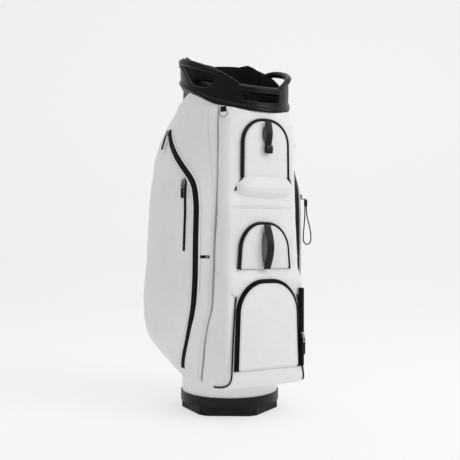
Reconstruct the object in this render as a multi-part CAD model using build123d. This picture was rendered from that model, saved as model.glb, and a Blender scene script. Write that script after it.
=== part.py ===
from build123d import *
import os
from math import atan, cos, degrees, pi, radians, sin, tan

# A cart-style golf bag. Millimetres, +Z up, the bag's front faces -Y, the origin is
# the middle of the foot's underside. "Left" is -X, as seen from in front of the bag.

# ---------------------------------------------------------------- driving dimensions
BASE_R = 123.0            # base cup outside radius
BASE_TOP = 45.0           # top edge of the base cup
FOOT_H = 22.0             # height of the six-sided rubber foot
FOOT_FLAT = 109.0         # centre to flat of the foot
FOOT_CORNER_R = 120.0     # the foot's corners are turned down to this radius
CUP_WALL = 3.0
CUP_LEDGE_Z = 26.0        # the tube stands on this ledge

FRONT_SLOPE_Z = 640.0     # the tube's flat front leans out to the collar above this height
TUBE_WALL = 2.5
TUBE_BASE_R = 119.5
TUBE_TOP_RX = 126.5       # tube at the collar, half width
TUBE_TOP_RY = 132.5       # tube at the collar, half depth
TUBE_TOP_Z = 760.0        # from here up the tube is straight
TUBE_FLAT_Y = -126.0      # the tube's front is flat here, to make room for the pockets
RIM_CY = -25.0            # the collar's centre is this far forward of the base's

RIM_Z = 782.0             # collar's lower edge above the origin, measured at y = 0
RIM_SLOPE = 0.394         # the collar rises towards the back by this much per mm
COLLAR_RX = 133.0
COLLAR_RY = 139.0
COLLAR_WALL = 6.0
COLLAR_BAND = 19.0        # height of the closed lower band of the collar
COLUMN_TOP = 76.0         # top of the two columns beside the front handle
HANDLE_SPAN = 24.0        # the front handle reaches this many degrees each side of the front
COLUMN_END = 48.0         # the front columns end here, and the side handles begin
SHOULDER_START = 90.0     # a low shoulder of the back wall begins here, under the side handles
SHOULDER_TOP = 42.0
BACK_START = 114.0        # the full height of the collar's back wall begins here
BACK_LEVEL = 885.0        # the back wall's top edge is level, at this height
LINER_START = 139.0       # the padded liner inside the back wall begins here
SIDE_GRIP_R = 8.5
GRIP_CROWN = 80.0         # the side handles are highest here, in degrees from the front
GRIP_FRONT_ABOVE, GRIP_CROWN_ABOVE, GRIP_BACK_ABOVE = 66.0, 76.0, 62.0
FRONT_GRIP_TOP = 58.0
FRONT_GRIP_LOW = 41.0     # underside of the front handle above the collar's lower edge

RAIL_W = 12.0             # padded rails of the club divider
RAIL_LOW = 5.0
ROW_Y = (-88.0, -43.0, 2.0, 47.0)
COLUMN_X = 40.0
SHEET_T = 1.5             # full-length divider cloth
STAY_R = 3.5              # rods that hold the collar up from the base
STAY_ANGLES = (40, 140, 220, 320)

SKIN = 3.0                # panel thickness of the pocket housings
GAP = 0.3                 # clearance kept between bodies that move
FIT = 0.05                # radial clearance of pins in their holes

# each front pocket: its door's arch, its front face and corners, its height range and its pull strap
UPPER = dict(half=58.0, low=562.0, top=694.0, bend=52.0, front=162.0, corner=104.0, cut=17.0,
             hip=109.0, z0=492.0, z1=740.0,
             pull=dict(width=17.0, drop=56.0, land=6.0, bow=14.0, block=19.0))
MIDDLE = dict(half=65.0, low=352.0, top=454.0, bend=56.0, front=170.0, corner=104.0, cut=17.0,
              hip=110.0, z0=350.0, z1=490.0,
              pull=dict(width=18.0, drop=100.0, land=12.0, bow=22.0, block=0.0))
BALL = dict(half=79.5, low=124.0, top=320.0, bend=70.0, front=191.0, corner=105.0, cut=8.0,
            hip=117.0, z0=80.0, z1=348.0)
DOOR_T = 7.0
DOOR_PROUD = 3.0          # the doors stand this far in front of their pockets
PULL_T = 3.0              # thickness of the pull straps on the two upper doors
MAGNET_R, MAGNET_T = 8.9, 2.4
MAGNET_DROP = 24.0        # the magnets sit this far under the doors' tops
GUSSET = 17.0             # width of the zip gusset round the ball pocket's door
TRIM = 7.0                # width of the black binding round the two upper doors
STACK_X = 120.0           # width of the stack where it meets the tube
STACK_BACK = -50.0

SPINE_Y = 124.0           # back face of the spine panel
STRAP_TOP_Z = 745.0       # the shoulder strap's upper and lower anchors
STRAP_LOW_Z = 259.0
SIDE_FRONT_Y = -138.0     # front seam of the side pockets
SIDE_BACK_Y = 125.0
ZIP_EDGE = (142.0, -106.0)    # plan position of the side pockets' zip edge
ZIP_W = 15.0
SIDE = {"left": -1, "right": 1}


# ---------------------------------------------------------------- helpers
def rim_z(y, above=0.0):
    """Height of the sloping rim plane at depth y."""
    return RIM_Z + RIM_SLOPE * y + above


def slab(low, high):
    """Everything between two planes parallel to the rim's lower edge."""
    angle = degrees(atan(RIM_SLOPE))
    thick = (high - low) * cos(radians(angle))
    middle = Pos(0, 0, RIM_Z + (low + high) / 2)
    return middle * Rot(angle, 0, 0) * Box(700, 900, thick)


def rim_point(angle, above, rx, ry):
    """A point on the rim's ellipse, with the angle taken from the front towards +X."""
    x = rx * sin(radians(angle))
    y = RIM_CY - ry * cos(radians(angle))
    return (x, y, rim_z(y, above))


def oval_ring(rx, ry, wall):
    outer = Pos(0, RIM_CY, 500) * extrude(Ellipse(rx, ry), 500)
    inner = Pos(0, RIM_CY, 490) * extrude(Ellipse(rx - wall, ry - wall), 520)
    return outer - inner


def wedge(start, end):
    """A tall sector about the collar's centre, between two angles from the front."""
    steps = 1 + int(abs(end - start) / 50)
    angles = [start + (end - start) * i / steps for i in range(steps + 1)]
    points = [(0, 0)] + [(600 * sin(radians(a)), -600 * cos(radians(a))) for a in angles]
    face = make_face(Polyline(*points, close=True))
    return Pos(0, RIM_CY, 400) * extrude(face, 700)


def tube_solid(grow=0.0):
    """The bag's main tube as a filled solid, grown by a distance."""
    foot = Pos(0, 0, CUP_LEDGE_Z) * extrude(Circle(TUBE_BASE_R + grow), BASE_TOP - CUP_LEDGE_Z)
    low = Pos(0, 0, BASE_TOP) * Circle(TUBE_BASE_R + grow)
    high = Pos(0, RIM_CY, TUBE_TOP_Z) * Ellipse(TUBE_TOP_RX + grow, TUBE_TOP_RY + grow)
    neck = extrude(high, 140)
    flat = TUBE_FLAT_Y - grow
    cut = side_profile([(flat, 70), (flat, FRONT_SLOPE_Z), (flat - 34, 714), (-300, 714), (-300, 70)], -200, 200)
    return foot + loft([low, high]) + neck - cut


def arch(half, height, bend):
    """A door outline: straight sides and a round top, standing on the local x axis."""
    face = Pos(0, height / 2) * Rectangle(2 * half, height)
    return fillet(face.vertices().group_by(Axis.Y)[-1], bend)


def arch_solid(half, low, top, bend, front, thick):
    """An arch-shaped plate whose front face is at y = -front."""
    plane = Plane.XZ.offset(front - thick)
    return extrude(plane * Pos(0, low) * arch(half, top - low, bend), thick)


def side_profile(points, x0, x1):
    """A (y, z) outline carried across from x0 to x1."""
    face = make_face(Plane.YZ * Polyline(*points, close=True))
    return Pos(x0, 0, 0) * extrude(face, x1 - x0, dir=(1, 0, 0))


def stack_outline(spec, inset=0.0):
    """Plan outline of a front pocket, from the tube round its two front corners."""
    corner = spec["corner"] - inset
    wide = STACK_X - inset
    nose = spec["front"] - inset
    cut = spec["cut"]
    half = [(wide, STACK_BACK), (spec["hip"] - inset, -112), (corner, -nose + cut), (corner - cut, -nose)]
    points = half + [(-x, y) for x, y in reversed(half)]
    face = make_face(Polyline(*points, close=True))
    nose_corners = face.vertices().filter_by(lambda v: v.Y < -120)
    return fillet(nose_corners, 0.45 * cut)


def rod(start, end, radius):
    """A straight round bar between two points."""
    path = Line(start, end)
    return sweep((Plane(path @ 0, z_dir=path % 0)) * Circle(radius), path)


def write(name, shape):
    shape.label = name
    export_step(shape, "parts/" + name + ".step")


# ---------------------------------------------------------------- base
def base_parts():
    def hexagon(flat, low, high):
        return Pos(0, 0, low) * Rot(0, 0, 30) * extrude(
            RegularPolygon(flat, 6, major_radius=False), high - low)

    foot = hexagon(FOOT_FLAT, 0, FOOT_H) & Pos(0, 0, FOOT_H / 2) * Cylinder(FOOT_CORNER_R, FOOT_H)
    foot -= hexagon(FOOT_FLAT - 12, 6, FOOT_H + 1)
    cup = Pos(0, 0, (FOOT_H + BASE_TOP) / 2) * Cylinder(BASE_R, BASE_TOP - FOOT_H)
    cup += hexagon(FOOT_FLAT - 12, 6, FOOT_H)
    cup -= Pos(0, 0, (CUP_LEDGE_Z + 60) / 2) * Cylinder(BASE_R - CUP_WALL, 60 - CUP_LEDGE_Z)
    cup -= Pos(0, 0, (10 + 40) / 2) * Cylinder(90, 30)
    screws = []
    for i in range(6):
        angle = 60 * i
        notch = Rot(0, 0, angle) * Pos(0, -BASE_R, 14) * Box(16, 9, 18)
        foot -= notch
        spot = Rot(0, 0, angle + 30) * Pos(0, -76, 0)
        foot -= spot * Pos(0, 0, 1.5) * Cylinder(5, 3)
        foot -= spot * Pos(0, 0, 4.5) * Cylinder(2, 3.2)
        cup -= spot * Pos(0, 0, 8) * Cylinder(2, 4.2)
        screw = spot * (Pos(0, 0, 1.9) * Cylinder(4.8, 2.2) + Pos(0, 0, 6.2) * Cylinder(1.95, 6.6))
        screws.append(screw)
    brim = cup.edges().filter_by(GeomType.CIRCLE).group_by(Axis.Z)[-1].sort_by(SortBy.RADIUS)[-1]
    cup = fillet(brim, 1.2)
    write("base_cup", cup)
    write("base_foot", foot)
    write("base_screws", Compound(children=screws))


# ---------------------------------------------------------------- tube and dividers
def tube_parts():
    tube = tube_solid() - tube_solid(-TUBE_WALL)
    below_rim = slab(-900, RAIL_LOW - 1)
    tube = tube & below_rim
    tube -= Pos(0, 0, CUP_LEDGE_Z) * extrude(Circle(TUBE_BASE_R - TUBE_WALL), 4)
    write("body_tube", tube)

    stays = []
    holes = []
    for angle in STAY_ANGLES:
        low = (112 * sin(radians(angle)), -112 * cos(radians(angle)), CUP_LEDGE_Z + 1)
        high = rim_point(angle, RAIL_LOW - 4, TUBE_TOP_RX - 8, TUBE_TOP_RY - 8)
        stays.append(rod(low, high, STAY_R))
        holes.append(rod(low, high, STAY_R + 0.5))
    write("frame_stays", Compound(children=stays))

    inside = tube_solid(-TUBE_WALL - 0.5)
    for hole in holes:
        inside -= hole
    bay = slab(-900, RAIL_LOW)
    cross = [Pos(0, y, 450) * Box(300, SHEET_T, 900) & inside & bay for y in ROW_Y]
    cross = [c & Pos(0, 0, 30 + 500) * Box(400, 400, 1000) for c in cross]
    edges = (-200.0,) + ROW_Y + (200.0,)
    lengthwise = []
    bars = []
    hole = Pos(0, RIM_CY, 500) * extrude(Ellipse(COLLAR_RX - COLLAR_WALL, COLLAR_RY - COLLAR_WALL), 500)
    rail_slab = slab(RAIL_LOW, COLLAR_BAND)
    for row in range(5):
        near, far = edges[row], edges[row + 1]
        for x in ((0.0,) if row == 0 else (-COLUMN_X, COLUMN_X)):
            length = far - near - SHEET_T
            sheet = Pos(x, (near + far) / 2, 530) * Box(SHEET_T, length, 1000)
            hung = sheet & inside & bay
            if row == 0:
                top = Pos(0, 0, FRONT_SLOPE_Z + 500) * Box(1000, 1000, 1000)
                lengthwise += [hung - top, hung & top]
            else:
                lengthwise.append(hung)
            bar = Pos(x, (near + far) / 2, 800) * Box(RAIL_W, far - near - RAIL_W, 300)
            bars.append(bar & hole & rail_slab)
    rails = [Pos(0, y, 800) * Box(300, RAIL_W, 300) & hole & rail_slab for y in ROW_Y]
    write("divider_cross_cloths", Compound(children=cross))
    write("divider_lengthwise_cloths", Compound(children=lengthwise))
    write("divider_cross_rails", Compound(children=rails))
    write("divider_short_rails", Compound(children=bars))


# ---------------------------------------------------------------- collar
def collar_parts():
    shell = oval_ring(COLLAR_RX, COLLAR_RY, COLLAR_WALL)
    lip = oval_ring(COLLAR_RX + 3, COLLAR_RY + 3, COLLAR_WALL + 3)
    ring = (shell & slab(0, COLLAR_BAND)) + (lip & slab(0, 9))
    for s in SIDE.values():
        column = wedge(s * HANDLE_SPAN, s * COLUMN_END)
        ring += shell & slab(COLLAR_BAND - 1, COLUMN_TOP) & column
    ring += shell & slab(COLLAR_BAND - 1, SHOULDER_TOP) & wedge(SHOULDER_START, 360 - SHOULDER_START)
    level = Pos(0, 0, BACK_LEVEL - 500) * Box(1000, 1000, 1000)
    back = slab(COLLAR_BAND - 1, 100) & level
    ring += shell & back & wedge(BACK_START, 360 - BACK_START)
    write("collar", ring)

    front = oval_ring(COLLAR_RX + 2, COLLAR_RY + 2, COLLAR_WALL + 9)
    front = front & slab(FRONT_GRIP_LOW, FRONT_GRIP_TOP) & wedge(-HANDLE_SPAN, HANDLE_SPAN)
    write("front_handle", front)

    rx, ry = COLLAR_RX - COLLAR_WALL / 2, COLLAR_RY - COLLAR_WALL / 2
    for name, s in SIDE.items():
        start = rim_point(s * (COLUMN_END - 4), GRIP_FRONT_ABOVE, rx, ry)
        crown = rim_point(s * GRIP_CROWN, GRIP_CROWN_ABOVE, rx + 5, ry)
        end = rim_point(s * (BACK_START + 3), GRIP_BACK_ABOVE, rx, ry)
        arc = ThreePointArc(start, crown, end)
        grip = sweep(Plane(arc @ 0, z_dir=arc % 0) * Circle(SIDE_GRIP_R), arc) - ring
        grip = grip.solids().sort_by(SortBy.VOLUME)[-1]
        write("side_handle_" + name, grip)

    inner = oval_ring(COLLAR_RX - COLLAR_WALL, COLLAR_RY - COLLAR_WALL, 8)
    write("rim_pad", inner & back & slab(COLLAR_BAND, 100) & wedge(LINER_START, 360 - LINER_START))


# ---------------------------------------------------------------- front pockets
def housing(spec, tube, hole_grow, top_cut=None):
    """A hollow pocket box that wraps the front of the tube, with an arched front hole."""
    height = spec["z1"] - spec["z0"]
    box = Pos(0, 0, spec["z0"]) * extrude(stack_outline(spec), height)
    open_back = stack_outline(spec, SKIN) + Pos(0, STACK_BACK) * Rectangle(2 * STACK_X - 2 * SKIN, 2)
    room = Pos(0, 0, spec["z0"] + SKIN) * extrude(open_back, height - 2 * SKIN)
    if top_cut is not None:
        box = box & top_cut
        room = room & Pos(0, 0, -SKIN) * top_cut
    hole = arch_solid(spec["half"] + hole_grow, spec["low"] - GAP, spec["top"] + hole_grow,
                      spec["bend"] + hole_grow, spec["front"] + 20, 60)
    return box - room - hole - tube


def door_parts(name, spec, tube):
    """A magnet-held door and its binding. Returns the bar and magnet that catch it."""
    front = spec["front"] + DOOR_T + DOOR_PROUD
    door = arch_solid(spec["half"], spec["low"], spec["top"], spec["bend"], front, DOOR_T)
    edge = door.edges().filter_by(lambda e: e.center().Y < -front + 0.1 and e.center().Z > spec["low"] + 1)
    door = fillet(edge, 3)
    magnet_z = spec["top"] - MAGNET_DROP
    back = Plane.XZ.offset(front - DOOR_T) * Pos(0, magnet_z)
    door -= extrude(back * Circle(MAGNET_R + 2 * FIT), MAGNET_T + 2 * FIT)
    write(name + "_door", door)
    write(name + "_door_magnet", extrude(back * Circle(MAGNET_R), MAGNET_T))

    outer = arch_solid(spec["half"] + TRIM, spec["low"], spec["top"] + TRIM, spec["bend"] + TRIM,
                       front - 4, DOOR_T + 4)
    inner = arch_solid(spec["half"] + GAP, spec["low"] - 5, spec["top"] + GAP, spec["bend"] + GAP,
                       front + 10, 40)
    write(name + "_pocket_binding", outer - inner - tube)

    bar_t, bar_h = SKIN, 20
    bridge_y = -(spec["front"] - bar_t / 2)
    bridge = Pos(0, bridge_y, magnet_z) * Box(2 * spec["half"], bar_t, bar_h) & inner
    seat = Pos(0, bridge_y, magnet_z) * Rot(90, 0, 0)
    return bridge - seat * Cylinder(MAGNET_R + 2 * FIT, bar_t), seat * Cylinder(MAGNET_R, bar_t)


def pull_loop(name, spec):
    """The flat black strap down the middle of a door, sewn at both ends and bowed out for the fingers."""
    pull = spec["pull"]
    land, bow, block = pull["land"], pull["bow"], pull["block"]
    face = -(spec["front"] + DOOR_T + DOOR_PROUD)
    top = spec["top"] - 1
    low = top - pull["drop"]
    out = face - PULL_T
    middle = (top + low) / 2
    outer = ThreePointArc((out, top - land), (out - bow, middle), (out, low + land))
    inner = ThreePointArc((face, low + land), (face - bow, middle), (face, top - land))
    ends = [Line((face, top), (out, top)), Line((out, top), outer @ 0),
            Line(outer @ 1, (out, low)), Line((out, low), (face, low)),
            Line((face, low), inner @ 0), Line(inner @ 1, (face, top))]
    profile = make_face(Curve() + [outer, inner] + ends)
    strap = extrude(Plane.YZ * profile, pull["width"] / 2, both=True)
    if block:
        thick = 10
        strap += Pos(0, face - thick / 2, low - block / 2 + 1) * Box(pull["width"] + 2, thick, block)
    write(name + "_door_pull", strap)


def upper_pouch(tube):
    """The full, rounded lower part of the upper pocket, under its door."""
    low, front, half_width = UPPER["low"], UPPER["front"], 72
    outline = [(-front, low), (-front - 24, low - GAP), (-front - 22, low - 16),
               (-front - 10, low - 36), (-front, low - 48)]
    write("upper_pouch", side_profile(outline, -half_width, half_width) - tube)


def ball_parts(tube):
    spec = BALL
    front = spec["front"] + 6
    door = arch_solid(spec["half"], spec["low"], spec["top"], spec["bend"], front, DOOR_T)
    edge = door.edges().filter_by(lambda e: e.center().Y < -front + 0.1 and e.center().Z > spec["low"] + 1)
    write("ball_door", fillet(edge, 4))
    outer = arch_solid(spec["half"] + GUSSET, spec["low"], spec["top"] + GUSSET - 5,
                       spec["bend"] + GUSSET, front - 4, 6)
    inner = arch_solid(spec["half"] + GAP, spec["low"] - 5, spec["top"] + GAP, spec["bend"] + GAP,
                       front + 10, 40)
    write("ball_zip_tape", outer - inner)
    corner_x, corner_y = spec["corner"] - 2.5, 2.5 - spec["front"]
    cords = [Pos(corner_x * s, corner_y, 209) * Cylinder(2, 218) for s in SIDE.values()]
    write("ball_piping", Compound(children=cords))


def front_parts():
    tube = tube_solid(GAP)
    under_collar = slab(-900, -1)
    upper = housing(UPPER, tube, TRIM + GAP, under_collar)
    write("upper_pocket_housing", upper)
    write("middle_pocket_housing", housing(MIDDLE, tube, TRIM + GAP))
    ball = housing(BALL, tube, GUSSET + GAP)
    write("ball_pocket_housing", ball)
    upper_pouch(tube)
    catches = [door_parts("upper", UPPER, tube), door_parts("middle", MIDDLE, tube)]
    write("catch_bars", Compound(children=[bar for bar, magnet in catches]))
    write("catch_magnets", Compound(children=[magnet for bar, magnet in catches]))
    pull_loop("upper", UPPER)
    pull_loop("middle", MIDDLE)
    ball_parts(tube)


# ---------------------------------------------------------------- side pockets
SIDE_PLAN = [(60, SIDE_FRONT_Y), (98, SIDE_FRONT_Y), ZIP_EDGE, (170, -40), (190, 50), (188, 100),
             (160, SIDE_BACK_Y), (60, SIDE_BACK_Y)]
SIDE_WIDTH = [(60, 84), (122, 84), (150, 122), (176, 152), (190, 204), (194, 267), (186, 483),
              (174, 610), (150, 690), (132, 760), (128, 800), (60, 800)]
SIDE_VIEW = [(SIDE_FRONT_Y, 84), (SIDE_FRONT_Y, rim_z(SIDE_FRONT_Y, -1)), (-47, rim_z(-47, -1)),
             (40, 744), (100, 670), (SIDE_BACK_Y, 610), (SIDE_BACK_Y, 190), (100, 150), (60, 118), (10, 84)]
SIDE_SHELL = 3.0
TAPE_T = 2.2
ZIP_PATH = [(45, 690), (-98, 551), (-104, 520), (-104, 310), (-72, 236), (-12, 128)]
WELT = dict(y=-68.0, low=394.0, high=566.0, width=9.0)


def side_solid(cutter, inset=0.0):
    """The right side pocket: the solid whose plan, front and side outlines all agree."""
    plan = make_face(Polyline(*SIDE_PLAN, close=True))
    plan = fillet(plan.vertices().filter_by(lambda v: v.X > 120), 12)
    wide = make_face(Plane.XZ * Polyline(*SIDE_WIDTH, close=True))
    deep = make_face(Plane.YZ * Polyline(*SIDE_VIEW, close=True))
    if inset:
        plan, wide, deep = (offset(f, -inset, kind=Kind.INTERSECTION) for f in (plan, wide, deep))
    block = extrude(plan, 900) & extrude(wide, 400, both=True)
    block = block & Pos(50, 0, 0) * extrude(deep, 180, dir=(1, 0, 0))
    return block - cutter


def stack_solid(grow):
    """The three front pockets as one filled solid, grown sideways by a distance."""
    pieces = [Pos(0, 0, p["z0"] - grow) * extrude(stack_outline(p, -grow), p["z1"] - p["z0"] + 2 * grow)
              for p in (BALL, MIDDLE, UPPER)]
    return pieces[0] + pieces[1] + pieces[2]


def side_parts():
    whole = side_solid(tube_solid(GAP) + stack_solid(0.0))
    room = side_solid(tube_solid(GAP + SIDE_SHELL) + stack_solid(SIDE_SHELL), SIDE_SHELL)
    band = extrude(Plane.YZ * trace(Polyline(*ZIP_PATH), line_width=ZIP_W), 260, dir=(1, 0, 0))
    tape = (whole & band) - Pos(-TAPE_T, TAPE_T, 0) * whole
    tape = max(tape.solids(), key=lambda piece: piece.volume)
    pocket = whole - tape - room
    for name, s in SIDE.items():
        this_tape = tape if s > 0 else mirror(tape, Plane.YZ)
        this = pocket if s > 0 else mirror(pocket, Plane.YZ)
        write("side_zip_tape_" + name, this_tape)
        if name == "left":
            middle = (WELT["low"] + WELT["high"]) / 2
            slot = Pos(-150, WELT["y"], middle) * Box(160, WELT["width"], WELT["high"] - WELT["low"])
            welt = (this & slot) - Pos(1.6, 1.6, 0) * this
            welt = max(welt.solids(), key=lambda piece: piece.volume)
            write("welt_zip_tape", welt)
            this -= welt
        write("side_pocket_" + name, max(this.solids(), key=lambda piece: piece.volume))


# ---------------------------------------------------------------- zip sliders and pulls
SLIDER_PIVOT = 5.0        # the pull's pin stands this far off the tape
PIN_R = 1.0
TAB_W = 9.0
TAB_START = -8.0


def surface_frame(point, normal, up):
    """A frame on a surface: x along the pull's pin, y up the tape, z straight out."""
    across = Vector(*up).cross(Vector(*normal))
    return Plane(origin=point, x_dir=across, z_dir=normal)


def slider(frame, name):
    plate = Pos(0, 0, GAP + 1.25) * Box(8, 14, 2.5)
    plate = fillet(plate.edges().filter_by(Axis.Z), 2.5)
    bridge = Pos(0, 0, 4.9) * Box(3.5, 8, 4.2)
    bridge = fillet(bridge.edges().filter_by(Axis.X).group_by(Axis.Z)[-1], 1.2)
    hole = Pos(0, 0, SLIDER_PIVOT) * Rot(0, 90, 0) * Cylinder(PIN_R + FIT, 10)
    write(name + "_slider", frame * (plate + bridge - hole))


def pull_clip(frame, name, reach=0.0):
    clip = Pos(0, 0, SLIDER_PIVOT) * Rot(0, 90, 0) * Cylinder(PIN_R, 6.4)
    for s in SIDE.values():
        clip += Pos(2.6 * s, -3.5, SLIDER_PIVOT) * Box(1.2, 9, 2.4)
    clip += Pos(0, -6.6, SLIDER_PIVOT) * Box(6.4, 2.8, 2.4)
    if reach:
        clip += Pos(0, -6.6, SLIDER_PIVOT + reach / 2) * Box(4, 2.8, reach)
    rivet = Pos(0, TAB_START - 6, SLIDER_PIVOT) * (Cylinder(1.55, 2.4) + Pos(0, 0, 1.6) * Cylinder(2.6, 0.8))
    pieces = [frame * clip] if reach else [frame * clip, frame * rivet]
    write(name + "_pull_clip", Compound(children=pieces))


def pull_tab(frame, name, length):
    tab = Pos(0, TAB_START - length / 2, SLIDER_PIVOT) * Box(TAB_W, length, 2.4)
    tab = fillet(tab.edges().filter_by(Axis.Z).group_by(Axis.Y)[0], 3.5)
    hole = Pos(0, TAB_START - 6, SLIDER_PIVOT) * Cylinder(1.6, 3)
    write(name + "_pull_tab", frame * (tab - hole))


LOOP_D = 3.0
# the cord loop's route, as (sideways, height) in its own hanging plane
LOOP_ROUTE = [(-1.8, 503), (-1.8, 482), (-3.6, 458), (-5.2, 438), (-6.0, 425), (-5.4, 416),
              (-1.0, 409.5), (6.0, 408.5), (11.6, 413), (13.4, 423), (12.6, 437), (8.8, 458),
              (1.8, 482), (1.8, 503)]
LOOP_AT = (153.8, -114.9)
LOOP_ACROSS = (0.883, -0.469)


def cord_loop():
    points = [(LOOP_AT[0] + h * LOOP_ACROSS[0], LOOP_AT[1] + h * LOOP_ACROSS[1], z) for h, z in LOOP_ROUTE]
    radii = []
    for before, here, after in zip(points, points[1:], points[2:]):
        a, b = Vector(*here) - Vector(*before), Vector(*after) - Vector(*here)
        turn = radians(a.get_angle(b))
        radii.append(0.45 * min(a.length, b.length) / tan(turn / 2))
    path = FilletPolyline(*points, radius=radii)
    tube = sweep(Plane(path @ 0, z_dir=path % 0) * Circle(LOOP_D / 2), path)
    print("cord loop: radii", [round(r, 1) for r in radii], "length", round(path.length, 1),
          "volume ratio", round(tube.volume / (pi * LOOP_D ** 2 / 4 * path.length), 4))
    write("loop_pull_cord", tube)
    knot = Pos(LOOP_AT[0], LOOP_AT[1], 511.5) * Cylinder(4.2, 17)
    write("loop_pull_knot", fillet(knot.edges(), 1.5))


def zip_parts():
    ball = surface_frame((BALL["half"] + 12, -(BALL["front"] + 2), 196), (0, -1, 0), (0, 0, 1))
    slider(ball, "ball_zip")
    pull_clip(ball, "ball_zip")
    pull_tab(ball, "ball_zip", 38)
    face = Vector(28, 66, 0).normalized()
    welt_x = ZIP_EDGE[0] + (WELT["y"] - ZIP_EDGE[1]) * 28 / 66
    welt = surface_frame((-welt_x, WELT["y"], 556), (-face.Y, -face.X, 0), (0, 0, 1))
    slider(welt, "welt_zip")
    pull_clip(welt, "welt_zip")
    pull_tab(welt, "welt_zip", 32)
    slope = Vector(24, 0, -80).normalized()
    left = surface_frame((-151.2, 38, 686), (slope.Z, 0, slope.X), (slope.X, 0, -slope.Z))
    slider(left, "left_zip")
    pull_clip(left, "left_zip")
    pull_tab(left, "left_zip", 40)
    right = surface_frame((141.8, -105.9, 528), (0.783, -0.622, 0), (0, 0, 1))
    slider(right, "right_zip")
    pull_clip(right, "right_zip", 11)
    cord_loop()


# ---------------------------------------------------------------- trims and fittings
def towel_parts():
    out = Vector(-0.72, -0.69, 0).normalized()
    frame = surface_frame((-96.0 + out.X * 1.0, -153.5 + out.Y * 1.0, 712), tuple(out), (0, 0, 1))
    loop = Pos(0, 4, 2.6) * Box(13, 12, 5.2)
    loop = fillet(loop.edges().filter_by(Axis.X), 1.5)
    loop -= Pos(0, 0, 3) * Rot(0, 90, 0) * Cylinder(1.3, 20)
    write("towel_loop", frame * loop)
    bar = Line((-9, 0, 3), (9, 0, 3))
    bow = ThreePointArc((9, 0, 3), (0, -14, 3), (-9, 0, 3))
    ring = sweep(Plane(bar @ 0, z_dir=bar % 0) * Circle(1.25), bar)
    ring += sweep(Plane(bow @ 0, z_dir=bow % 0) * Circle(1.25), bow)
    for s in SIDE.values():
        ring += Pos(9 * s, 0, 3) * Sphere(1.5)
    write("towel_ring", frame * ring)


def strap_tab_parts():
    tabs, rivets = [], []
    for s in SIDE.values():
        out = Vector(32 * s, -44, 0).normalized()
        frame = surface_frame((127 * s + out.X * 0.2, -117.2 + out.Y * 0.2, 380), tuple(out), (0, 0, 1))
        tab = Pos(0, 0, 1) * Box(22, 7, 2)
        spot = Pos(-6 * s, 0, 1)
        tabs.append(frame * (tab - spot * Cylinder(2.1, 3)))
        rivets.append(frame * spot * (Cylinder(2.05, 2) + Pos(0, 0, 1.5) * Cylinder(2.8, 1)))
    write("cart_strap_tabs", Compound(children=tabs))
    write("cart_strap_rivets", Compound(children=rivets))


def back_parts():
    tube = tube_solid(GAP)
    spine = Pos(0, (60 + SPINE_Y) / 2, 440) * Box(118, SPINE_Y - 60, 720)
    spine = spine & slab(-900, -2)
    spine -= tube
    write("spine_panel", max(spine.solids(), key=lambda piece: piece.volume))


STRAP_W = 38.0            # shoulder strap webbing
WEB_T = 2.0
WIRE_R = 2.0              # the strap's two steel rings
RING_W, RING_H = 44.0, 24.0
PIN_OUT = 4.9             # the rings' fixed bars stand this far off the spine


def strap_parts():
    y = SPINE_Y
    pin_y = y + PIN_OUT
    anchors, rings, webs = [], [], []
    for z, way in ((STRAP_TOP_Z, -1), (STRAP_LOW_Z, 1)):
        anchor = Pos(0, y + 1.5, z + 3) * Box(34, 3, 30) + Pos(0, y + 4.5, z) * Box(34, 9, 9)
        anchors.append(anchor - Pos(0, pin_y, z) * Rot(0, 90, 0) * Cylinder(WIRE_R + FIT, 60))
        ring = Pos(0, pin_y, z) * Rot(0, 90, 0) * Cylinder(WIRE_R, RING_W)
        ring += Pos(0, pin_y, z + RING_H * way) * Rot(0, 90, 0) * Cylinder(WIRE_R, RING_W)
        for s in SIDE.values():
            ring += Pos((RING_W / 2 - 1) * s, pin_y, z + RING_H / 2 * way) * Cylinder(WIRE_R, RING_H)
        rings.append(ring)
        strip = [(pin_y, z + 27.2 * way), (y + 8, z + 64 * way), (y + 12, z + 94 * way)]
        outline = [(a - WEB_T / 2, b) for a, b in strip] + [(a + WEB_T / 2, b) for a, b in reversed(strip)]
        webs.append(side_profile(outline, -STRAP_W / 2, STRAP_W / 2))
    write("strap_anchors", Compound(children=anchors))
    write("strap_rings", Compound(children=rings))
    write("strap_webs", Compound(children=webs))

    pad_top, pad_low, pad_t, pad_half = STRAP_TOP_Z - 94.3, STRAP_LOW_Z + 94.3, 12, 31
    middle = (pad_top + pad_low) / 2
    pad_line = [(y + 6, pad_top), (y + 16, middle + 60), (y + 18, middle - 20), (y + 14, middle - 100),
                (y + 6, pad_low)]
    outline = pad_line + [(a + pad_t, b) for a, b in reversed(pad_line)]
    write("strap_pad", side_profile(outline, -pad_half, pad_half))

    # the adjuster buckle rides on the lower webbing, which passes through its slot
    (low_y, low_z), (high_y, high_z) = (y + 8, STRAP_LOW_Z + 64), (y + 12, STRAP_LOW_Z + 94)
    slack = WEB_T / 2 + GAP
    slot = side_profile([(low_y - slack, low_z), (high_y - slack, high_z),
                         (high_y + slack, high_z), (low_y + slack, low_z)],
                        -STRAP_W / 2 - GAP, STRAP_W / 2 + GAP)
    lean = degrees(atan((high_y - low_y) / (high_z - low_z)))
    buckle = Pos(0, y + 10, STRAP_LOW_Z + 79) * Rot(-lean, 0, 0) * Box(46, 7, 13)
    write("strap_adjuster", buckle - slot)


os.makedirs("parts", exist_ok=True)
base_parts()
tube_parts()
collar_parts()
front_parts()
side_parts()
zip_parts()
towel_parts()
strap_tab_parts()
back_parts()
strap_parts()
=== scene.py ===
import math

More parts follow.
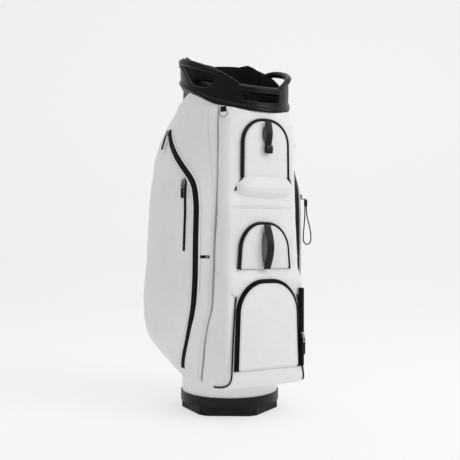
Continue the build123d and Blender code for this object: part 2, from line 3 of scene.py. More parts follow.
import bmesh
import bpy
import numpy as np
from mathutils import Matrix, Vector


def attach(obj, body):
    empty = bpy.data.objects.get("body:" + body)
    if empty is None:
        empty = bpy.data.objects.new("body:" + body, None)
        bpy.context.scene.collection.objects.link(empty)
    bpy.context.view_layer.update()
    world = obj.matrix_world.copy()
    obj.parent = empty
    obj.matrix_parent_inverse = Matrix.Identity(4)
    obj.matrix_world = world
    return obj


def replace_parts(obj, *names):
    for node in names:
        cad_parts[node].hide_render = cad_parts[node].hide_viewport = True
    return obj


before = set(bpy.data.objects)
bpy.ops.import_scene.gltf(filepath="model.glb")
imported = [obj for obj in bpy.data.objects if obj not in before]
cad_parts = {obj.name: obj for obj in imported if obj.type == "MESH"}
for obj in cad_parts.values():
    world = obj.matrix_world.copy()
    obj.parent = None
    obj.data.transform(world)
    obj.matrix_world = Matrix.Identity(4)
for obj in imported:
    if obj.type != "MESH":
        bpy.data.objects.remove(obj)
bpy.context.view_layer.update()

# Sizes are in millimetres, in the frame of the CAD model: +Z up, the bag's front is -Y.
MM = 0.001
SIDES = {"left": -1, "right": 1}
FORWARD, BACKWARD = (0, -1, 0), (0, 1, 0)
RIM_Z, RIM_SLOPE, RIM_CY = 782.0, 0.394, -25.0    # the collar's sloping plane and its centre
COLLAR_RX, COLLAR_RY, COLLAR_WALL = 133.0, 139.0, 6.0
LIP_RISE = 12.0               # the collar's lower edge is this much higher round the two sides
BACK_LEVEL = 886.0            # the collar's tall back is cut off level here
HEM_Z, TUCK_R = 84, 116       # the skins' lower edge, and the radius they tuck in to below it
UPPER_SHIFT = 7.0             # the upper door sits this far to the right of the middle
PAD_LOW, PAD_HIGH = 356, 648  # the shoulder pad's ends
SPINE_Y = 124.0
CLOTH_LOW = 34                # the divider cloths hang down to here

# Metres and radians: where the camera stands.
CAMERA_TURN, CAMERA_AWAY, CAMERA_UP = math.radians(28), 1.75, 0.410


def place(name, data):
    """A new object in the scene."""
    obj = bpy.data.objects.new(name, data)
    bpy.context.collection.objects.link(obj)
    return obj


def set_inputs(node, **values):
    """Sets a node's sockets. An underscore stands for a space in a socket's name."""
    for key, value in values.items():
        node.inputs[key.replace("_", " ")].default_value = value


# ---------------------------------------------------------------- camera, light, floor
def make_stage():
    """The camera that fits the photograph, three area lights and a curved paper backdrop."""
    data = bpy.data.cameras.new("camera")
    data.lens, data.sensor_width = 54.0, 36.0
    data.shift_x, data.shift_y = 0.001, 0.030
    camera = place("camera", data)
    camera.location = (-CAMERA_AWAY * math.sin(CAMERA_TURN), -CAMERA_AWAY * math.cos(CAMERA_TURN),
                       CAMERA_UP)
    camera.rotation_euler = (math.pi / 2, 0, -CAMERA_TURN)
    scene = bpy.context.scene
    scene.camera = camera
    scene.view_settings.view_transform = "Standard"

    scene.world = bpy.data.worlds.new("studio")
    scene.world.use_nodes = True
    set_inputs(scene.world.node_tree.nodes["Background"], Color=(0.90, 0.90, 0.905, 1), Strength=0.50)

    for name, spot, target_z, size, power in (("key", (1.9, -2.6, 2.3), 0.45, (1.8, 1.8), 46),
                                              ("top", (-0.2, -0.3, 3.2), 0.4, (2.4, 2.4), 25),
                                              ("fill", (-2.8, -1.2, 1.2), 0.45, (1.6, 2.2), 3)):
        light = bpy.data.lights.new(name, "AREA")
        light.shape = "RECTANGLE"
        light.size, light.size_y = size
        light.energy = power
        lamp = place(name, light)
        lamp.location = spot
        aim = Vector((0, 0, target_z)) - Vector(spot)
        lamp.rotation_euler = aim.to_track_quat("-Z", "Y").to_euler()

    profile = [(-6.0, 0.0), (1.6, 0.0), (2.2, 0.06), (2.7, 0.30), (3.0, 0.75), (3.1, 1.4), (3.1, 6.0)]
    mesh = bpy.data.meshes.new("backdrop")
    mesh.from_pydata([(x, y, z) for y, z in profile for x in (-9, 9)], [],
                     [(a, a + 1, a + 3, a + 2) for a in range(0, 2 * len(profile) - 2, 2)])
    mesh.polygons.foreach_set("use_smooth", [True] * len(mesh.polygons))
    floor = place("backdrop", mesh)
    floor.rotation_euler = (0, 0, -CAMERA_TURN)
    paper = bpy.data.materials.new("paper")
    paper.use_nodes = True
    set_inputs(paper.node_tree.nodes["Principled BSDF"], Base_Color=(0.36, 0.36, 0.361, 1),
               Emission_Color=(1, 1, 1, 1), Emission_Strength=0.60, Roughness=0.9,
               Specular_IOR_Level=0.1)
    mesh.materials.append(paper)


make_stage()


# ---------------------------------------------------------------- materials
class Nodes:
    """Short names for building one material's nodes."""

    def __init__(self, name, rough, shine=0.5, **more):
        self.material = bpy.data.materials.new(name)
        self.material.use_nodes = True
        self.tree = self.material.node_tree
        self.shader = self.tree.nodes["Principled BSDF"]
        set_inputs(self.shader, Roughness=rough, Specular_IOR_Level=shine, **more)
        self.place = self.add("ShaderNodeTexCoord").outputs["Object"]

    def add(self, kind, settings=(), **values):
        node = self.tree.nodes.new(kind)
        for key, value in settings:
            setattr(node, key, value)
        set_inputs(node, **values)
        return node

    def link(self, output, target):
        self.tree.links.new(output, target)

    def texture(self, kind, output, settings=(), **values):
        """A texture in the piece's own coordinates."""
        node = self.add(kind, settings, **values)
        self.link(self.place, node.inputs["Vector"])
        return node.outputs[output]

    def noise(self, scale, detail=3.0, rough=0.5):
        return self.texture("ShaderNodeTexNoise", "Fac", Scale=scale, Detail=detail, Roughness=rough)

    def cells(self, scale):
        return self.texture("ShaderNodeTexVoronoi", "Distance", Scale=scale)

    def wave(self, scale, axis):
        return self.texture("ShaderNodeTexWave", "Fac", [("bands_direction", axis)], Scale=scale,
                            Distortion=0.4, Detail=1.0)

    def math(self, operation, *values):
        node = self.add("ShaderNodeMath", [("operation", operation)])
        for socket, value in zip(node.inputs, values):
            if isinstance(value, (int, float)):
                socket.default_value = value
            else:
                self.link(value, socket)
        return node.outputs[0]

    def pebbles(self, grain, fine_grain):
        return self.math("ADD", self.cells(grain), self.math("MULTIPLY", self.noise(fine_grain, 2), 0.6))

    def colour(self, factor, dark, light, low=0.3, high=0.7):
        ramp = self.add("ShaderNodeValToRGB")
        for k, (at, tone) in enumerate(((low, dark), (high, light))):
            ramp.color_ramp.elements[k].position = at
            ramp.color_ramp.elements[k].color = (*tone, 1)
        self.link(factor, ramp.inputs["Fac"])
        self.link(ramp.outputs["Color"], self.shader.inputs["Base Color"])

    def roughness(self, factor, low, high):
        node = self.add("ShaderNodeMapRange", To_Min=low, To_Max=high)
        self.link(factor, node.inputs["Value"])
        self.link(node.outputs["Result"], self.shader.inputs["Roughness"])

    def bump(self, height, strength, depth):
        """Adds bump on top of any that is there already."""
        node = self.add("ShaderNodeBump", Strength=strength, Distance=depth)
        self.link(height, node.inputs["Height"])
        last = self.shader.inputs["Normal"]
        if last.is_linked:
            self.link(last.links[0].from_socket, node.inputs["Normal"])
        self.link(node.outputs["Normal"], last)


def leather(name, dark, light, rough, grain=620.0, shine=0.4):
    """Fine pebbled synthetic leather with soft creasing and uneven gloss."""
    n = Nodes(name, rough, shine)
    blotches = [n.math("MULTIPLY", n.noise(scale), share) for scale, share in ((7, 0.7), (60, 0.3))]
    n.colour(n.math("ADD", *blotches), dark, light)
    n.roughness(n.noise(45, 4), rough - 0.07, rough + 0.09)
    n.bump(n.pebbles(grain, grain * 1.8), 0.32, 0.0004)
    n.bump(n.noise(26, 5, 0.62), 0.10, 0.0016)
    return n.material


def weave(name, dark, light, threads, rough=0.8, depth=0.0005, sheen=0.04):
    """Woven cloth or webbing: crossing threads with fuzz."""
    n = Nodes(name, rough, 0.12, Sheen_Weight=sheen)
    height = n.math("MAXIMUM", n.wave(threads, "DIAGONAL"), n.wave(threads, "Z"))
    n.colour(n.math("MULTIPLY", height, n.noise(300)), dark, light, 0.15, 0.65)
    n.roughness(n.noise(80, 3), rough - 0.08, rough + 0.1)
    n.bump(height, 0.6, depth)
    n.bump(n.noise(30, 3), 0.1, 0.001)
    return n.material


def plastic(name, dark, light, rough, grain=1500.0, depth=0.0002, strength=0.25, shine=0.22):
    """Moulded plastic or rubber with a fine grain."""
    n = Nodes(name, rough, shine)
    n.colour(n.noise(22, 4), dark, light)
    n.roughness(n.noise(70, 4), rough - 0.06, rough + 0.08)
    n.bump(n.noise(grain, 2), strength, depth)
    n.bump(n.noise(18, 2), 0.05, 0.001)
    return n.material


def metal(name, colour, rough):
    """Plated metal with faint wear."""
    n = Nodes(name, rough, Metallic=1.0)
    n.colour(n.noise(160, 4), tuple(c * 0.86 for c in colour), colour)
    n.roughness(n.noise(420, 5, 0.7), rough - 0.07, rough + 0.12)
    n.bump(n.noise(900, 3), 0.08, 0.0001)
    return n.material


def grey(level, blue=None):
    return (level, level, blue or level)


WHITE = leather("white_leather", grey(0.77, 0.775), grey(0.84), 0.48)
PIPING = leather("white_piping", (0.74, 0.735, 0.72), grey(0.82, 0.81), 0.5, 900)
# The seam fold's grey is painted shade: the shadowed valley of the pinched seam in the white leather.
SEAM_SHADE = leather("seam_fold_painted_shade", grey(0.30), grey(0.42), 0.6, 900)
BLACK_LEATHER = leather("black_leather", grey(0.004), grey(0.010, 0.011), 0.40, 800, 0.25)
BINDING = leather("black_binding", grey(0.003), grey(0.008, 0.009), 0.46, 1000, 0.2)
COLLAR = plastic("collar_plastic", grey(0.003, 0.004), grey(0.006, 0.008), 0.33, shine=0.17)
BASE = plastic("base_plastic", grey(0.004), grey(0.008), 0.36)
FOOT = plastic("foot_rubber", grey(0.005), grey(0.012), 0.62, 700, 0.0008, 0.7)
TEETH = plastic("zip_teeth", grey(0.004), grey(0.012), 0.3)
STAY = plastic("stay_coating", grey(0.05, 0.055), grey(0.08, 0.085), 0.45)
MESH = weave("padded_mesh", grey(0.002), grey(0.009, 0.010), 190)
LINING = weave("lining_cloth", grey(0.002), grey(0.009, 0.010), 260)
SPINE = weave("spine_cloth", grey(0.003), grey(0.010, 0.011), 230)
# The finger scoops' grey lining is painted shade in the hollow behind each pull strap.
SCOOP_SHADE = weave("scoop_painted_shade", grey(0.13, 0.135), grey(0.24, 0.245), 330)
WEBBING = weave("webbing", grey(0.003), grey(0.012, 0.013), 330, 0.7, 0.0007)
TAPE = weave("zip_tape", grey(0.002), grey(0.008), 420, 0.75, 0.0004)
FLEECE = weave("rail_fleece", grey(0.001), grey(0.004), 480, 0.95, 0.0012, 0.01)
CORD = weave("braided_cord", grey(0.003), grey(0.012), 900, 0.75)
THREAD = weave("white_thread", grey(0.52), grey(0.66), 1500, 0.7)
BLACK_THREAD = weave("black_thread", grey(0.012), grey(0.05), 1500, 0.7)
STEEL = metal("bright_metal", grey(0.40, 0.41), 0.16)
NICKEL = metal("zip_metal", grey(0.60), 0.28)


# ---------------------------------------------------------------- mesh helpers
MADE = []


def new_mesh(name, verts, faces, material, near=1e-6):
    """An object from millimetre vertices: close ones merged, and the faces turned outwards."""
    mesh = bpy.data.meshes.new(name)
    mesh.from_pydata([tuple(c * MM for c in v) for v in verts], [], faces)
    mesh.materials.append(material)
    clean = bmesh.new()
    clean.from_mesh(mesh)
    bmesh.ops.remove_doubles(clean, verts=clean.verts, dist=near)
    bmesh.ops.recalc_face_normals(clean, faces=clean.faces)
    clean.to_mesh(mesh)
    clean.free()
    return place(name, mesh)


def add_mesh(name, verts, faces, material, body="bag", slot=None):
    """A new smooth piece, riding on a body."""
    obj = new_mesh(name, verts, faces, material)
    obj.data.polygons.foreach_set("use_smooth", [True] * len(obj.data.polygons))
    obj.data.set_sharp_from_angle(angle=math.radians(52))
    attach(obj, body)
    MADE.append(obj)
    return obj


def joined(name, parts, material, body="bag", slot=None):
    """Several (verts, faces) pairs as one piece."""
    verts, faces = [], []
    for part_verts, part_faces in parts:
        start = len(verts)
        verts += [tuple(v) for v in part_verts]
        faces += [tuple(start + i for i in face) for face in part_faces]
    return add_mesh(name, verts, faces, material, body, slot)


def cut_away(obj, cutter):
    """Takes a closed shape out of a closed mesh, for good."""
    modifier = obj.modifiers.new("cut", "BOOLEAN")
    modifier.operation = "DIFFERENCE"
    modifier.solver = "EXACT"
    modifier.object = cutter
    apply_modifiers(obj)
    bpy.data.objects.remove(cutter)
    obj.data.set_sharp_from_angle(angle=math.radians(40))


def apply_modifiers(obj):
    bpy.context.view_layer.update()
    graph = bpy.context.evaluated_depsgraph_get()
    mesh = bpy.data.meshes.new_from_object(obj.evaluated_get(graph))
    obj.modifiers.clear()
    obj.data = mesh


def clamp(value):
    return min(1, max(0, value))


def step(x, low, high):
    t = clamp((x - low) / (high - low))
    return t * t * (3 - 2 * t)


def shares(count):
    """Evenly spaced numbers from 0 to 1."""
    return [i / (count - 1) for i in range(count)]


def blend(at, known, rows):
    """Rows of numbers, read between the places where they are known."""
    return np.stack([np.interp(at, known, column) for column in np.asarray(rows, float).T], 1)


def along(path):
    """The distance from a path's start to each of its points."""
    return np.concatenate([[0], np.cumsum(np.linalg.norm(np.diff(path, axis=0), axis=1))])


def soften(line, sigma):
    """Smooths a line of points with a bell curve, keeping its two ends in place."""
    line = np.asarray(line, float)
    reach = min(int(3 * sigma) + 1, len(line) - 1)
    bell = np.exp(-0.5 * (np.arange(-reach, reach + 1) / sigma) ** 2)
    bell /= bell.sum()
    head = 2 * line[0] - line[1:reach + 1][::-1]
    tail = 2 * line[-1] - line[-reach - 1:-1][::-1]
    long = np.concatenate([head, line, tail])
    return np.stack([np.convolve(column, bell, "valid") for column in long.T], 1)


def resample(line, count):
    """The same line as evenly spaced points."""
    line = np.asarray(line, float)
    at = along(line)
    return blend(np.linspace(0, at[-1], count), at, line)


def flipped(points, side):
    """Points of the bag's right half, for the given side."""
    points = np.array(points, float)
    points[..., 0] *= side
    return points


def mirrored(points):
    """Half a line, outside to middle, as the whole line from left to right."""
    return [(-p[0], *p[1:]) for p in points] + [tuple(p) for p in reversed(points[:-1])]


def ripple(x, z, size=1.0, phase=0.0):
    """Slow unevenness of soft material, in millimetres."""
    return size * (0.5 * math.sin(x / 23.0 + 1.3 + phase) * math.sin(z / 31.0 + phase)
                   + 0.3 * math.sin(x / 11.0 + z / 17.0 + 2 * phase)
                   + 0.2 * math.sin(z / 9.0 - x / 29.0 + phase))


def grid_normals(grid, outward):
    """Unit normals of a grid of points, turned to the side of the given direction."""
    normal = np.cross(np.gradient(grid, axis=1), np.gradient(grid, axis=0))
    normal /= np.linalg.norm(normal, axis=2, keepdims=True) + 1e-12
    if float((normal * np.asarray(outward)).sum()) < 0:
        normal = -normal
    return normal


def swollen(grid, outward, amount):
    """Moves each point out by amount(x, y, z, its share of the way across)."""
    normal = grid_normals(grid, outward)
    across = shares(grid.shape[1])
    for i, row in enumerate(grid.copy()):
        for j, (x, y, z) in enumerate(row):
            grid[i, j] += normal[i, j] * amount(x, y, z, across[j])
    return grid


def pinched(grid, outward, ways, depth):
    """Turns edge columns in towards the tube, which makes a pinched seam."""
    normal = grid_normals(grid, outward)
    for way in ways:
        for k, deep in enumerate(depth):
            j = k if way > 0 else -1 - k
            grid[:, j] -= normal[:, j] * deep
    return grid


def sheet(grid, outward, thickness):
    """A closed sheet whose front is the grid."""
    rows, columns = grid.shape[:2]
    behind = grid - grid_normals(grid, outward) * thickness
    under = rows * columns
    faces = []
    for i in range(rows - 1):
        for j in range(columns - 1):
            a = i * columns + j
            b, c, d = a + 1, a + columns + 1, a + columns
            faces += [(a, b, c, d), (d + under, c + under, b + under, a + under)]
            for on_edge, p, q in ((i == 0, a, b), (j == columns - 2, b, c), (i == rows - 2, c, d),
                                  (j == 0, d, a)):
                if on_edge:
                    faces.append((q, p, p + under, q + under))
    return np.concatenate([grid.reshape(-1, 3), behind.reshape(-1, 3)]), faces


def thick_sheet(name, grid, outward, thickness, material, body="bag"):
    return add_mesh(name, *sheet(np.asarray(grid), outward, thickness), material, body)


def ring_faces(rings, count, closed=False):
    """Faces between rings of points. The ends are capped, or else the last ring meets the first."""
    faces = []
    for i in range(rings if closed else rings - 1):
        a, b = i * count, (i + 1) % rings * count
        faces += [(a + j, a + (j + 1) % count, b + (j + 1) % count, b + j) for j in range(count)]
    if not closed:
        faces += [tuple(range(count)), tuple(reversed(range((rings - 1) * count, rings * count)))]
    return faces


def lofted(name, rings, material, body="bag", closed=False):
    """A piece from rings of points."""
    verts = [point for ring in rings for point in ring]
    return add_mesh(name, verts, ring_faces(len(rings), len(rings[0]), closed), material, body)


def frames_along(path, up):
    """Tangent, side and up vectors along a path, with up as near as possible to given ones."""
    path = np.asarray(path, float)
    tangent = np.gradient(path, axis=0)
    tangent /= np.linalg.norm(tangent, axis=1, keepdims=True)
    side = np.cross(tangent, np.broadcast_to(np.asarray(up, float), path.shape))
    side /= np.linalg.norm(side, axis=1, keepdims=True) + 1e-12
    return tangent, side, np.cross(side, tangent)


def sweep(path, up, section):
    """Vertices and faces of a section of (side, up) points carried along a path."""
    path, section = np.asarray(path, float), np.asarray(section, float)
    _, side, lift = frames_along(path, up)
    if section.ndim == 2:
        section = np.broadcast_to(section, (len(path), *section.shape))
    verts = (path[:, None, :] + side[:, None, :] * section[:, :, :1]
             + lift[:, None, :] * section[:, :, 1:2])
    return verts.reshape(-1, 3), ring_faces(len(path), section.shape[1])


def swept(name, path, up, section, material, body="bag"):
    return add_mesh(name, *sweep(path, up, section), material, body)


def oval(width, height, count=16, power=2.0):
    """A rounded section; a power over 2 makes it squarer."""
    points = []
    for i in range(count):
        a = 2 * math.pi * i / count
        c, s = math.cos(a), math.sin(a)
        points.append((math.copysign(abs(c) ** (2 / power), c) * width / 2,
                       math.copysign(abs(s) ** (2 / power), s) * height / 2))
    return points


def scaled(section, factor):
    return [(a * factor, b * factor) for a, b in section]


def carried(up, path, count):
    """A direction, or one for each point of a path, spread over count points."""
    ups = np.broadcast_to(np.asarray(up, float), path.shape)
    return blend(np.linspace(0, 1, count), np.linspace(0, 1, len(path)), ups)


def stitches(name, path, up, material=None, body="bag", slot=None, size=(3.2, 1.6, 0.8)):
    """A row of sewn stitches along a path, each a small thread bump: its length, gap and width."""
    length, gap, width = size
    path = np.asarray(path, float)
    total = np.linalg.norm(np.diff(path, axis=0), axis=1).sum()
    count = max(2, int(total / (length + gap)))
    fine = resample(path, count * 4 + 1)
    ups = carried(up, path, len(fine))
    section = [oval(width * f, width * f * 0.8, 6) for f in (0.55, 1.0, 0.55)]
    parts = []
    for i in range(0, 4 * count, 4):
        middle = (fine[i] + fine[i + 3]) / 2 + ups[i + 1] * width * 0.35
        parts.append(sweep([fine[i], middle, fine[i + 3]], ups[i + 1], section))
    return joined(name, parts, material or THREAD, body, slot)


FINE_STITCH = (3.0, 1.4, 0.7)


def zip_teeth(name, path, up, pitch=2.6, width=4.6):
    """The closed chain of a zip: alternating teeth along a path."""
    path = np.asarray(path, float)
    count = int(np.linalg.norm(np.diff(path, axis=0), axis=1).sum() / pitch)
    fine = resample(path, count)
    tangent, side, lift = frames_along(fine, carried(up, path, count))
    faces = [(3, 2, 1, 0), (8, 9, 10, 11)] + [(k + m, k + (m + 1) % 4, k + 4 + (m + 1) % 4, k + 4 + m)
                                              for k in (0, 4) for m in range(4)]
    parts = []
    for i in range(count):
        centre = fine[i] + side[i] * (1 if i % 2 else -1) * 0.7
        corners = [centre + side[i] * a * width / 2 * scale + tangent[i] * b * pitch * 0.36 * scale
                   + lift[i] * h
                   for h, scale in ((-0.5, 1.0), (0.5, 0.96), (1.1, 0.66))
                   for a, b in ((-1, -1), (1, -1), (1, 1), (-1, 1))]
        parts.append((corners, faces))
    return joined(name, parts, TEETH)


def both_sides(build):
    for name, side in SIDES.items():
        build(name, side)


def rim_z(y, above=0.0):
    return RIM_Z + RIM_SLOPE * y + above


def rim_point(angle, above, grow=0.0):
    """A point on the collar's outer wall, with the angle from the front towards +X."""
    a = math.radians(angle)
    y = RIM_CY - (COLLAR_RY + grow) * math.cos(a)
    return ((COLLAR_RX + grow) * math.sin(a), y, rim_z(y, above))


# ---------------------------------------------------------------- the cord loop
LOOP_AT = (153.8, -114.9)
LOOP_ACROSS = (0.883, -0.469)
LOOP_ROUTE = [(-1.8, 503), (-1.8, 482), (-3.6, 458), (-5.2, 438), (-6.0, 425), (-5.4, 416),
              (-1.0, 409.5), (6.0, 408.5), (11.6, 413), (13.4, 423), (12.6, 437), (8.8, 458),
              (1.8, 482), (1.8, 503)]


def cord_loop():
    """The cord on the right zip's pull, a soft curve down from its knot and back."""
    curve = bpy.data.curves.new("loop_cord", "CURVE")
    curve.dimensions = "3D"
    curve.bevel_depth = 1.5 * MM
    curve.bevel_resolution = 4
    curve.resolution_u = 12
    spline = curve.splines.new("NURBS")
    spline.points.add(len(LOOP_ROUTE) - 1)
    for point, (h, z) in zip(spline.points, LOOP_ROUTE):
        x, y = (at + h * across for at, across in zip(LOOP_AT, LOOP_ACROSS))
        point.co = (x * MM, y * MM, z * MM, 1)
    spline.order_u = 3
    spline.use_endpoint_u = True
    cord = place("loop_cord", curve)
    curve.materials.append(CORD)
    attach(cord, "right_zip_pull")
    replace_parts(cord, "loop_pull_cord")


cord_loop()


# ---------------------------------------------------------------- front pockets' skin
class Loft:
    """A surface made of plan sections keyed by height, which can be read at any height."""

    def __init__(self, keys, columns, spread_z, spread_s):
        levels = [z for z, _ in keys]
        dense = np.arange(levels[0], levels[-1] + 1, 2.0)
        rows = blend(dense, levels, [np.ravel(points) for _, points in keys])
        self.heights = np.arange(levels[0], levels[-1] + 1, 3.0)
        rows = blend(self.heights, dense, soften(rows, spread_z / 2))
        self.lines = np.array([soften(resample(row.reshape(-1, 2), columns), spread_s) for row in rows])
        self.columns = columns

    def at(self, column, z):
        x, y = (np.interp(z, self.heights, self.lines[:, column, k]) for k in (0, 1))
        return np.stack([x, y, np.broadcast_to(z, x.shape)], -1)

    def grid(self, top, rows):
        """Points from the hem to a top height that depends on y. The bottom is folded under."""
        columns = []
        for j in range(self.columns):
            z = 700.0
            for _ in range(6):
                z = top(self.at(j, np.array(z))[1])
            columns.append(self.at(j, HEM_Z + (z - HEM_Z) * np.linspace(0, 1, rows)))
        points = np.stack(columns, 1)
        under = points[0].copy()
        under[:, :2] *= np.minimum(1, TUCK_R / np.linalg.norm(under[:, :2], axis=1, keepdims=True))
        under[:, 2] -= 2.0
        return np.concatenate([under[None], points])


def lip_rise(y):
    """The collar's lower edge is lifted a little above its plane round the two sides."""
    return LIP_RISE * step(y, -118, -62) * (1 - step(y, 40, 100))


def under_lip(y):
    return rim_z(y, 3.0 + lip_rise(y))


FRONT_SECTIONS = [
    (84, [(121, -84), (114, -140), (102, -172), (92, -181), (50, -184), (0, -185)]),
    (96, [(121, -87), (115, -146), (105, -180), (96, -190), (50, -192.5), (0, -193)]),
    (112, [(121, -89), (115, -146), (105, -180), (96, -190), (50, -192.5), (0, -193)]),
    (136, [(120, -93), (115, -146), (106, -176), (98, -184), (50, -185), (0, -185)]),
    (175, [(119, -97), (115, -148), (106, -176), (98, -184), (50, -185), (0, -185)]),
    (225, [(117, -112), (114, -150), (106, -176), (98, -184), (50, -185), (0, -185)]),
    (262, [(114, -128), (112, -153), (106, -176), (98, -184), (50, -185), (0, -185)]),
    (300, [(112, -129), (110, -153), (105, -175), (96, -183), (50, -184.5), (0, -185)]),
    (332, [(110, -128), (109, -150), (102, -172), (93, -181), (50, -184), (0, -184)]),
    (352, [(109, -128), (108, -142), (102, -158), (90, -168), (50, -171), (0, -171.5)]),
    (420, [(107, -128), (105, -141), (100, -156), (88, -167), (50, -170.5), (0, -171)]),
    (488, [(104, -132), (103, -142), (99, -152), (88, -163), (50, -167), (0, -168)]),
    (520, [(104, -133), (103, -141), (98, -151), (87, -160.5), (50, -162.5), (0, -163)]),
    (650, [(103, -136), (101, -143), (95, -151), (84, -159), (50, -162.5), (0, -163.5)]),
    (700, [(102, -134), (99, -141), (92, -149), (80, -156), (50, -162), (0, -164.5)]),
    (728, [(94, -123), (88, -131), (78, -139), (65, -147), (38, -158), (0, -164)]),
    (840, [(94, -123), (88, -131), (78, -139), (65, -147), (38, -158), (0, -164)]),
]
FRONT = Loft([(z, mirrored(points)) for z, points in FRONT_SECTIONS], 97, 6.0, 1.6)

# Arched openings: half width, lowest and highest z, corner radius, how far forward the door's
# face and back stand, and how much the opening narrows at its top.
UPPER = dict(half=58, low=562, top=694, bend=51, front=172, back=165, taper=0.03)
MIDDLE = dict(half=64, low=352, top=454, bend=54, front=180, back=173, taper=0.12)
BALL = dict(half=79.5, low=124, top=320, bend=66, front=197, back=190, taper=0.09)


def tapered(spec, x, z):
    return x * (1 - spec["taper"] * (z - spec["low"]) / (spec["top"] - spec["low"]))


def arch_line(spec, grow, turns=24, foot=0.0):
    """The arch as (x, z) points, from its lower left foot over the top to its lower right foot."""
    half, top, bend = (spec[key] + grow for key in ("half", "top", "bend"))
    low = spec["low"] - foot
    points = [(-half, low), (-half, (low + top - bend) / 2)]
    for i in range(turns + 1):
        a = math.pi - math.pi / 2 * i / turns
        points.append((-(half - bend) + bend * math.cos(a), top - bend + bend * math.sin(a)))
    points += [(-x, z) for x, z in reversed(points)]
    return [(tapered(spec, x, z), z) for x, z in points]


def arch_path(spec, grow, y, count, turns=24):
    return np.array([(x, y, z) for x, z in resample(arch_line(spec, grow, turns), count)])


def arch_cutter(spec, grow, near, far):
    shift = UPPER_SHIFT if spec is UPPER else 0.0
    line = resample(arch_line(spec, grow, foot=1.0), 90)
    verts = [(x + shift, y, z) for y in (near, far) for x, z in line]
    return new_mesh("cutter", verts, ring_faces(2, len(line)), WHITE, 1e-5)


def front_skin():
    """The white leather over all three front pockets, with an arched opening for each door."""
    grid = swollen(FRONT.grid(under_lip, 134), FORWARD,
                   lambda x, y, z, u: ripple(x, z, 0.7 * clamp((700 - z) / 60)))
    grid = pinched(grid, FORWARD, (1, -1), (4.0, 1.3))
    skin = thick_sheet("front_pocket_skin", grid, FORWARD, 2.4, WHITE)
    for spec, grow in ((UPPER, 1.0), (MIDDLE, 1.0), (BALL, 9.0)):
        cut_away(skin, arch_cutter(spec, grow, -150, -230))
    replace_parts(skin, "upper_pocket_housing", "middle_pocket_housing", "ball_pocket_housing")


front_skin()

# Dark lining on the tube behind the front pockets.
thick_sheet("front_pocket_lining",
            [[(x, -128.5 - 0.3 * math.sin(x / 9) * math.sin(z / 13), z) for x in np.linspace(-92, 92, 24)]
             for z in np.linspace(90, 640, 60)], FORWARD, 1.2, LINING)


# ---------------------------------------------------------------- doors
DOOR_INSETS = [0, 0, 0.4, 1.6, 3.6, 6.5, 11, 17, 25, 35, 46]
DOOR_RISES = [0.0, 0.62, 0.80, 0.94, 1.0]      # the first outlines climb the door's rolled edge


def arch_ring(spec, inset, count=14, foot_bend=6.0):
    """The door's closed outline, drawn in by the inset."""
    half, low, top = spec["half"] - inset, spec["low"] + inset, spec["top"] - inset
    bend = max(2.0, spec["bend"] - inset)
    foot = max(1.0, foot_bend - inset * 0.3)
    ring = []
    for cx, cz, r, start in ((half - foot, low + foot, foot, -90), (half - bend, top - bend, bend, 0),
                             (-(half - bend), top - bend, bend, 90),
                             (-(half - foot), low + foot, foot, 180)):
        for i in range(count):
            a = math.radians(start + 90 * i / (count - 1))
            x, z = cx + r * math.cos(a), cz + r * math.sin(a)
            ring.append((tapered(spec, x, z), z))
    return resample(ring + ring[:1], 141)[:-1]


def door(name, spec, crown):
    """A door's padded panel: a rolled edge, a crowned and rippled face, and a row of stitches."""
    body = name + "_door"
    front, back = spec["front"], spec["back"]
    rim = len(DOOR_RISES) - 1
    rings = [arch_ring(spec, inset) for inset in DOOR_INSETS]
    verts = []
    for k, ring in enumerate(rings):
        for x, z in ring:
            if k <= rim:
                y = -(back + (front - back - crown) * DOOR_RISES[k])
            else:
                share = (DOOR_INSETS[k] - DOOR_INSETS[rim]) / (DOOR_INSETS[-1] - DOOR_INSETS[rim])
                y = (-(front - crown + crown * math.sin(math.pi / 2 * share))
                     - ripple(x, z, 0.5 * share))
            verts.append((x, y, z))
    size, top = len(rings[0]), len(verts)
    verts += [tuple(np.mean(verts[-size:], axis=0)), (0, -back, (spec["low"] + spec["top"]) / 2)]
    faces = ring_faces(len(rings), size)[:-2]
    faces += [(top - size + i, top - size + (i + 1) % size, top) for i in range(size)]
    faces += [((i + 1) % size, i, top + 1) for i in range(size)]
    panel = add_mesh(body + "_panel", verts, faces, WHITE, body)
    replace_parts(panel, body)
    line = np.concatenate([rings[rim], rings[rim][:1]])
    stitches(body + "_stitching", [(x, -(front - crown) - 0.25, z) for x, z in line], FORWARD,
             body=body, size=FINE_STITCH)


for name, spec, crown in (("upper", UPPER, 2.0), ("middle", MIDDLE, 2.0), ("ball", BALL, 2.4)):
    door(name, spec, crown)


def binding(name, spec, left, right):
    """The black edge binding round an opening: a rolled band, as wide as given on each leg."""
    line = arch_path(spec, 3.8, -(spec["back"] - 0.5), 120, 22)
    section = [oval(left + (right - left) * clamp((t - 0.35) / 0.4), 10.5, 14, 2.6)
               for t in shares(len(line))]
    piece = swept(name + "_binding", soften(line, 1.5), FORWARD, section, BINDING)
    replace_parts(piece, name + "_pocket_binding")


binding("upper", UPPER, 8.0, 6.2)
binding("middle", MIDDLE, 8.0, 3.2)


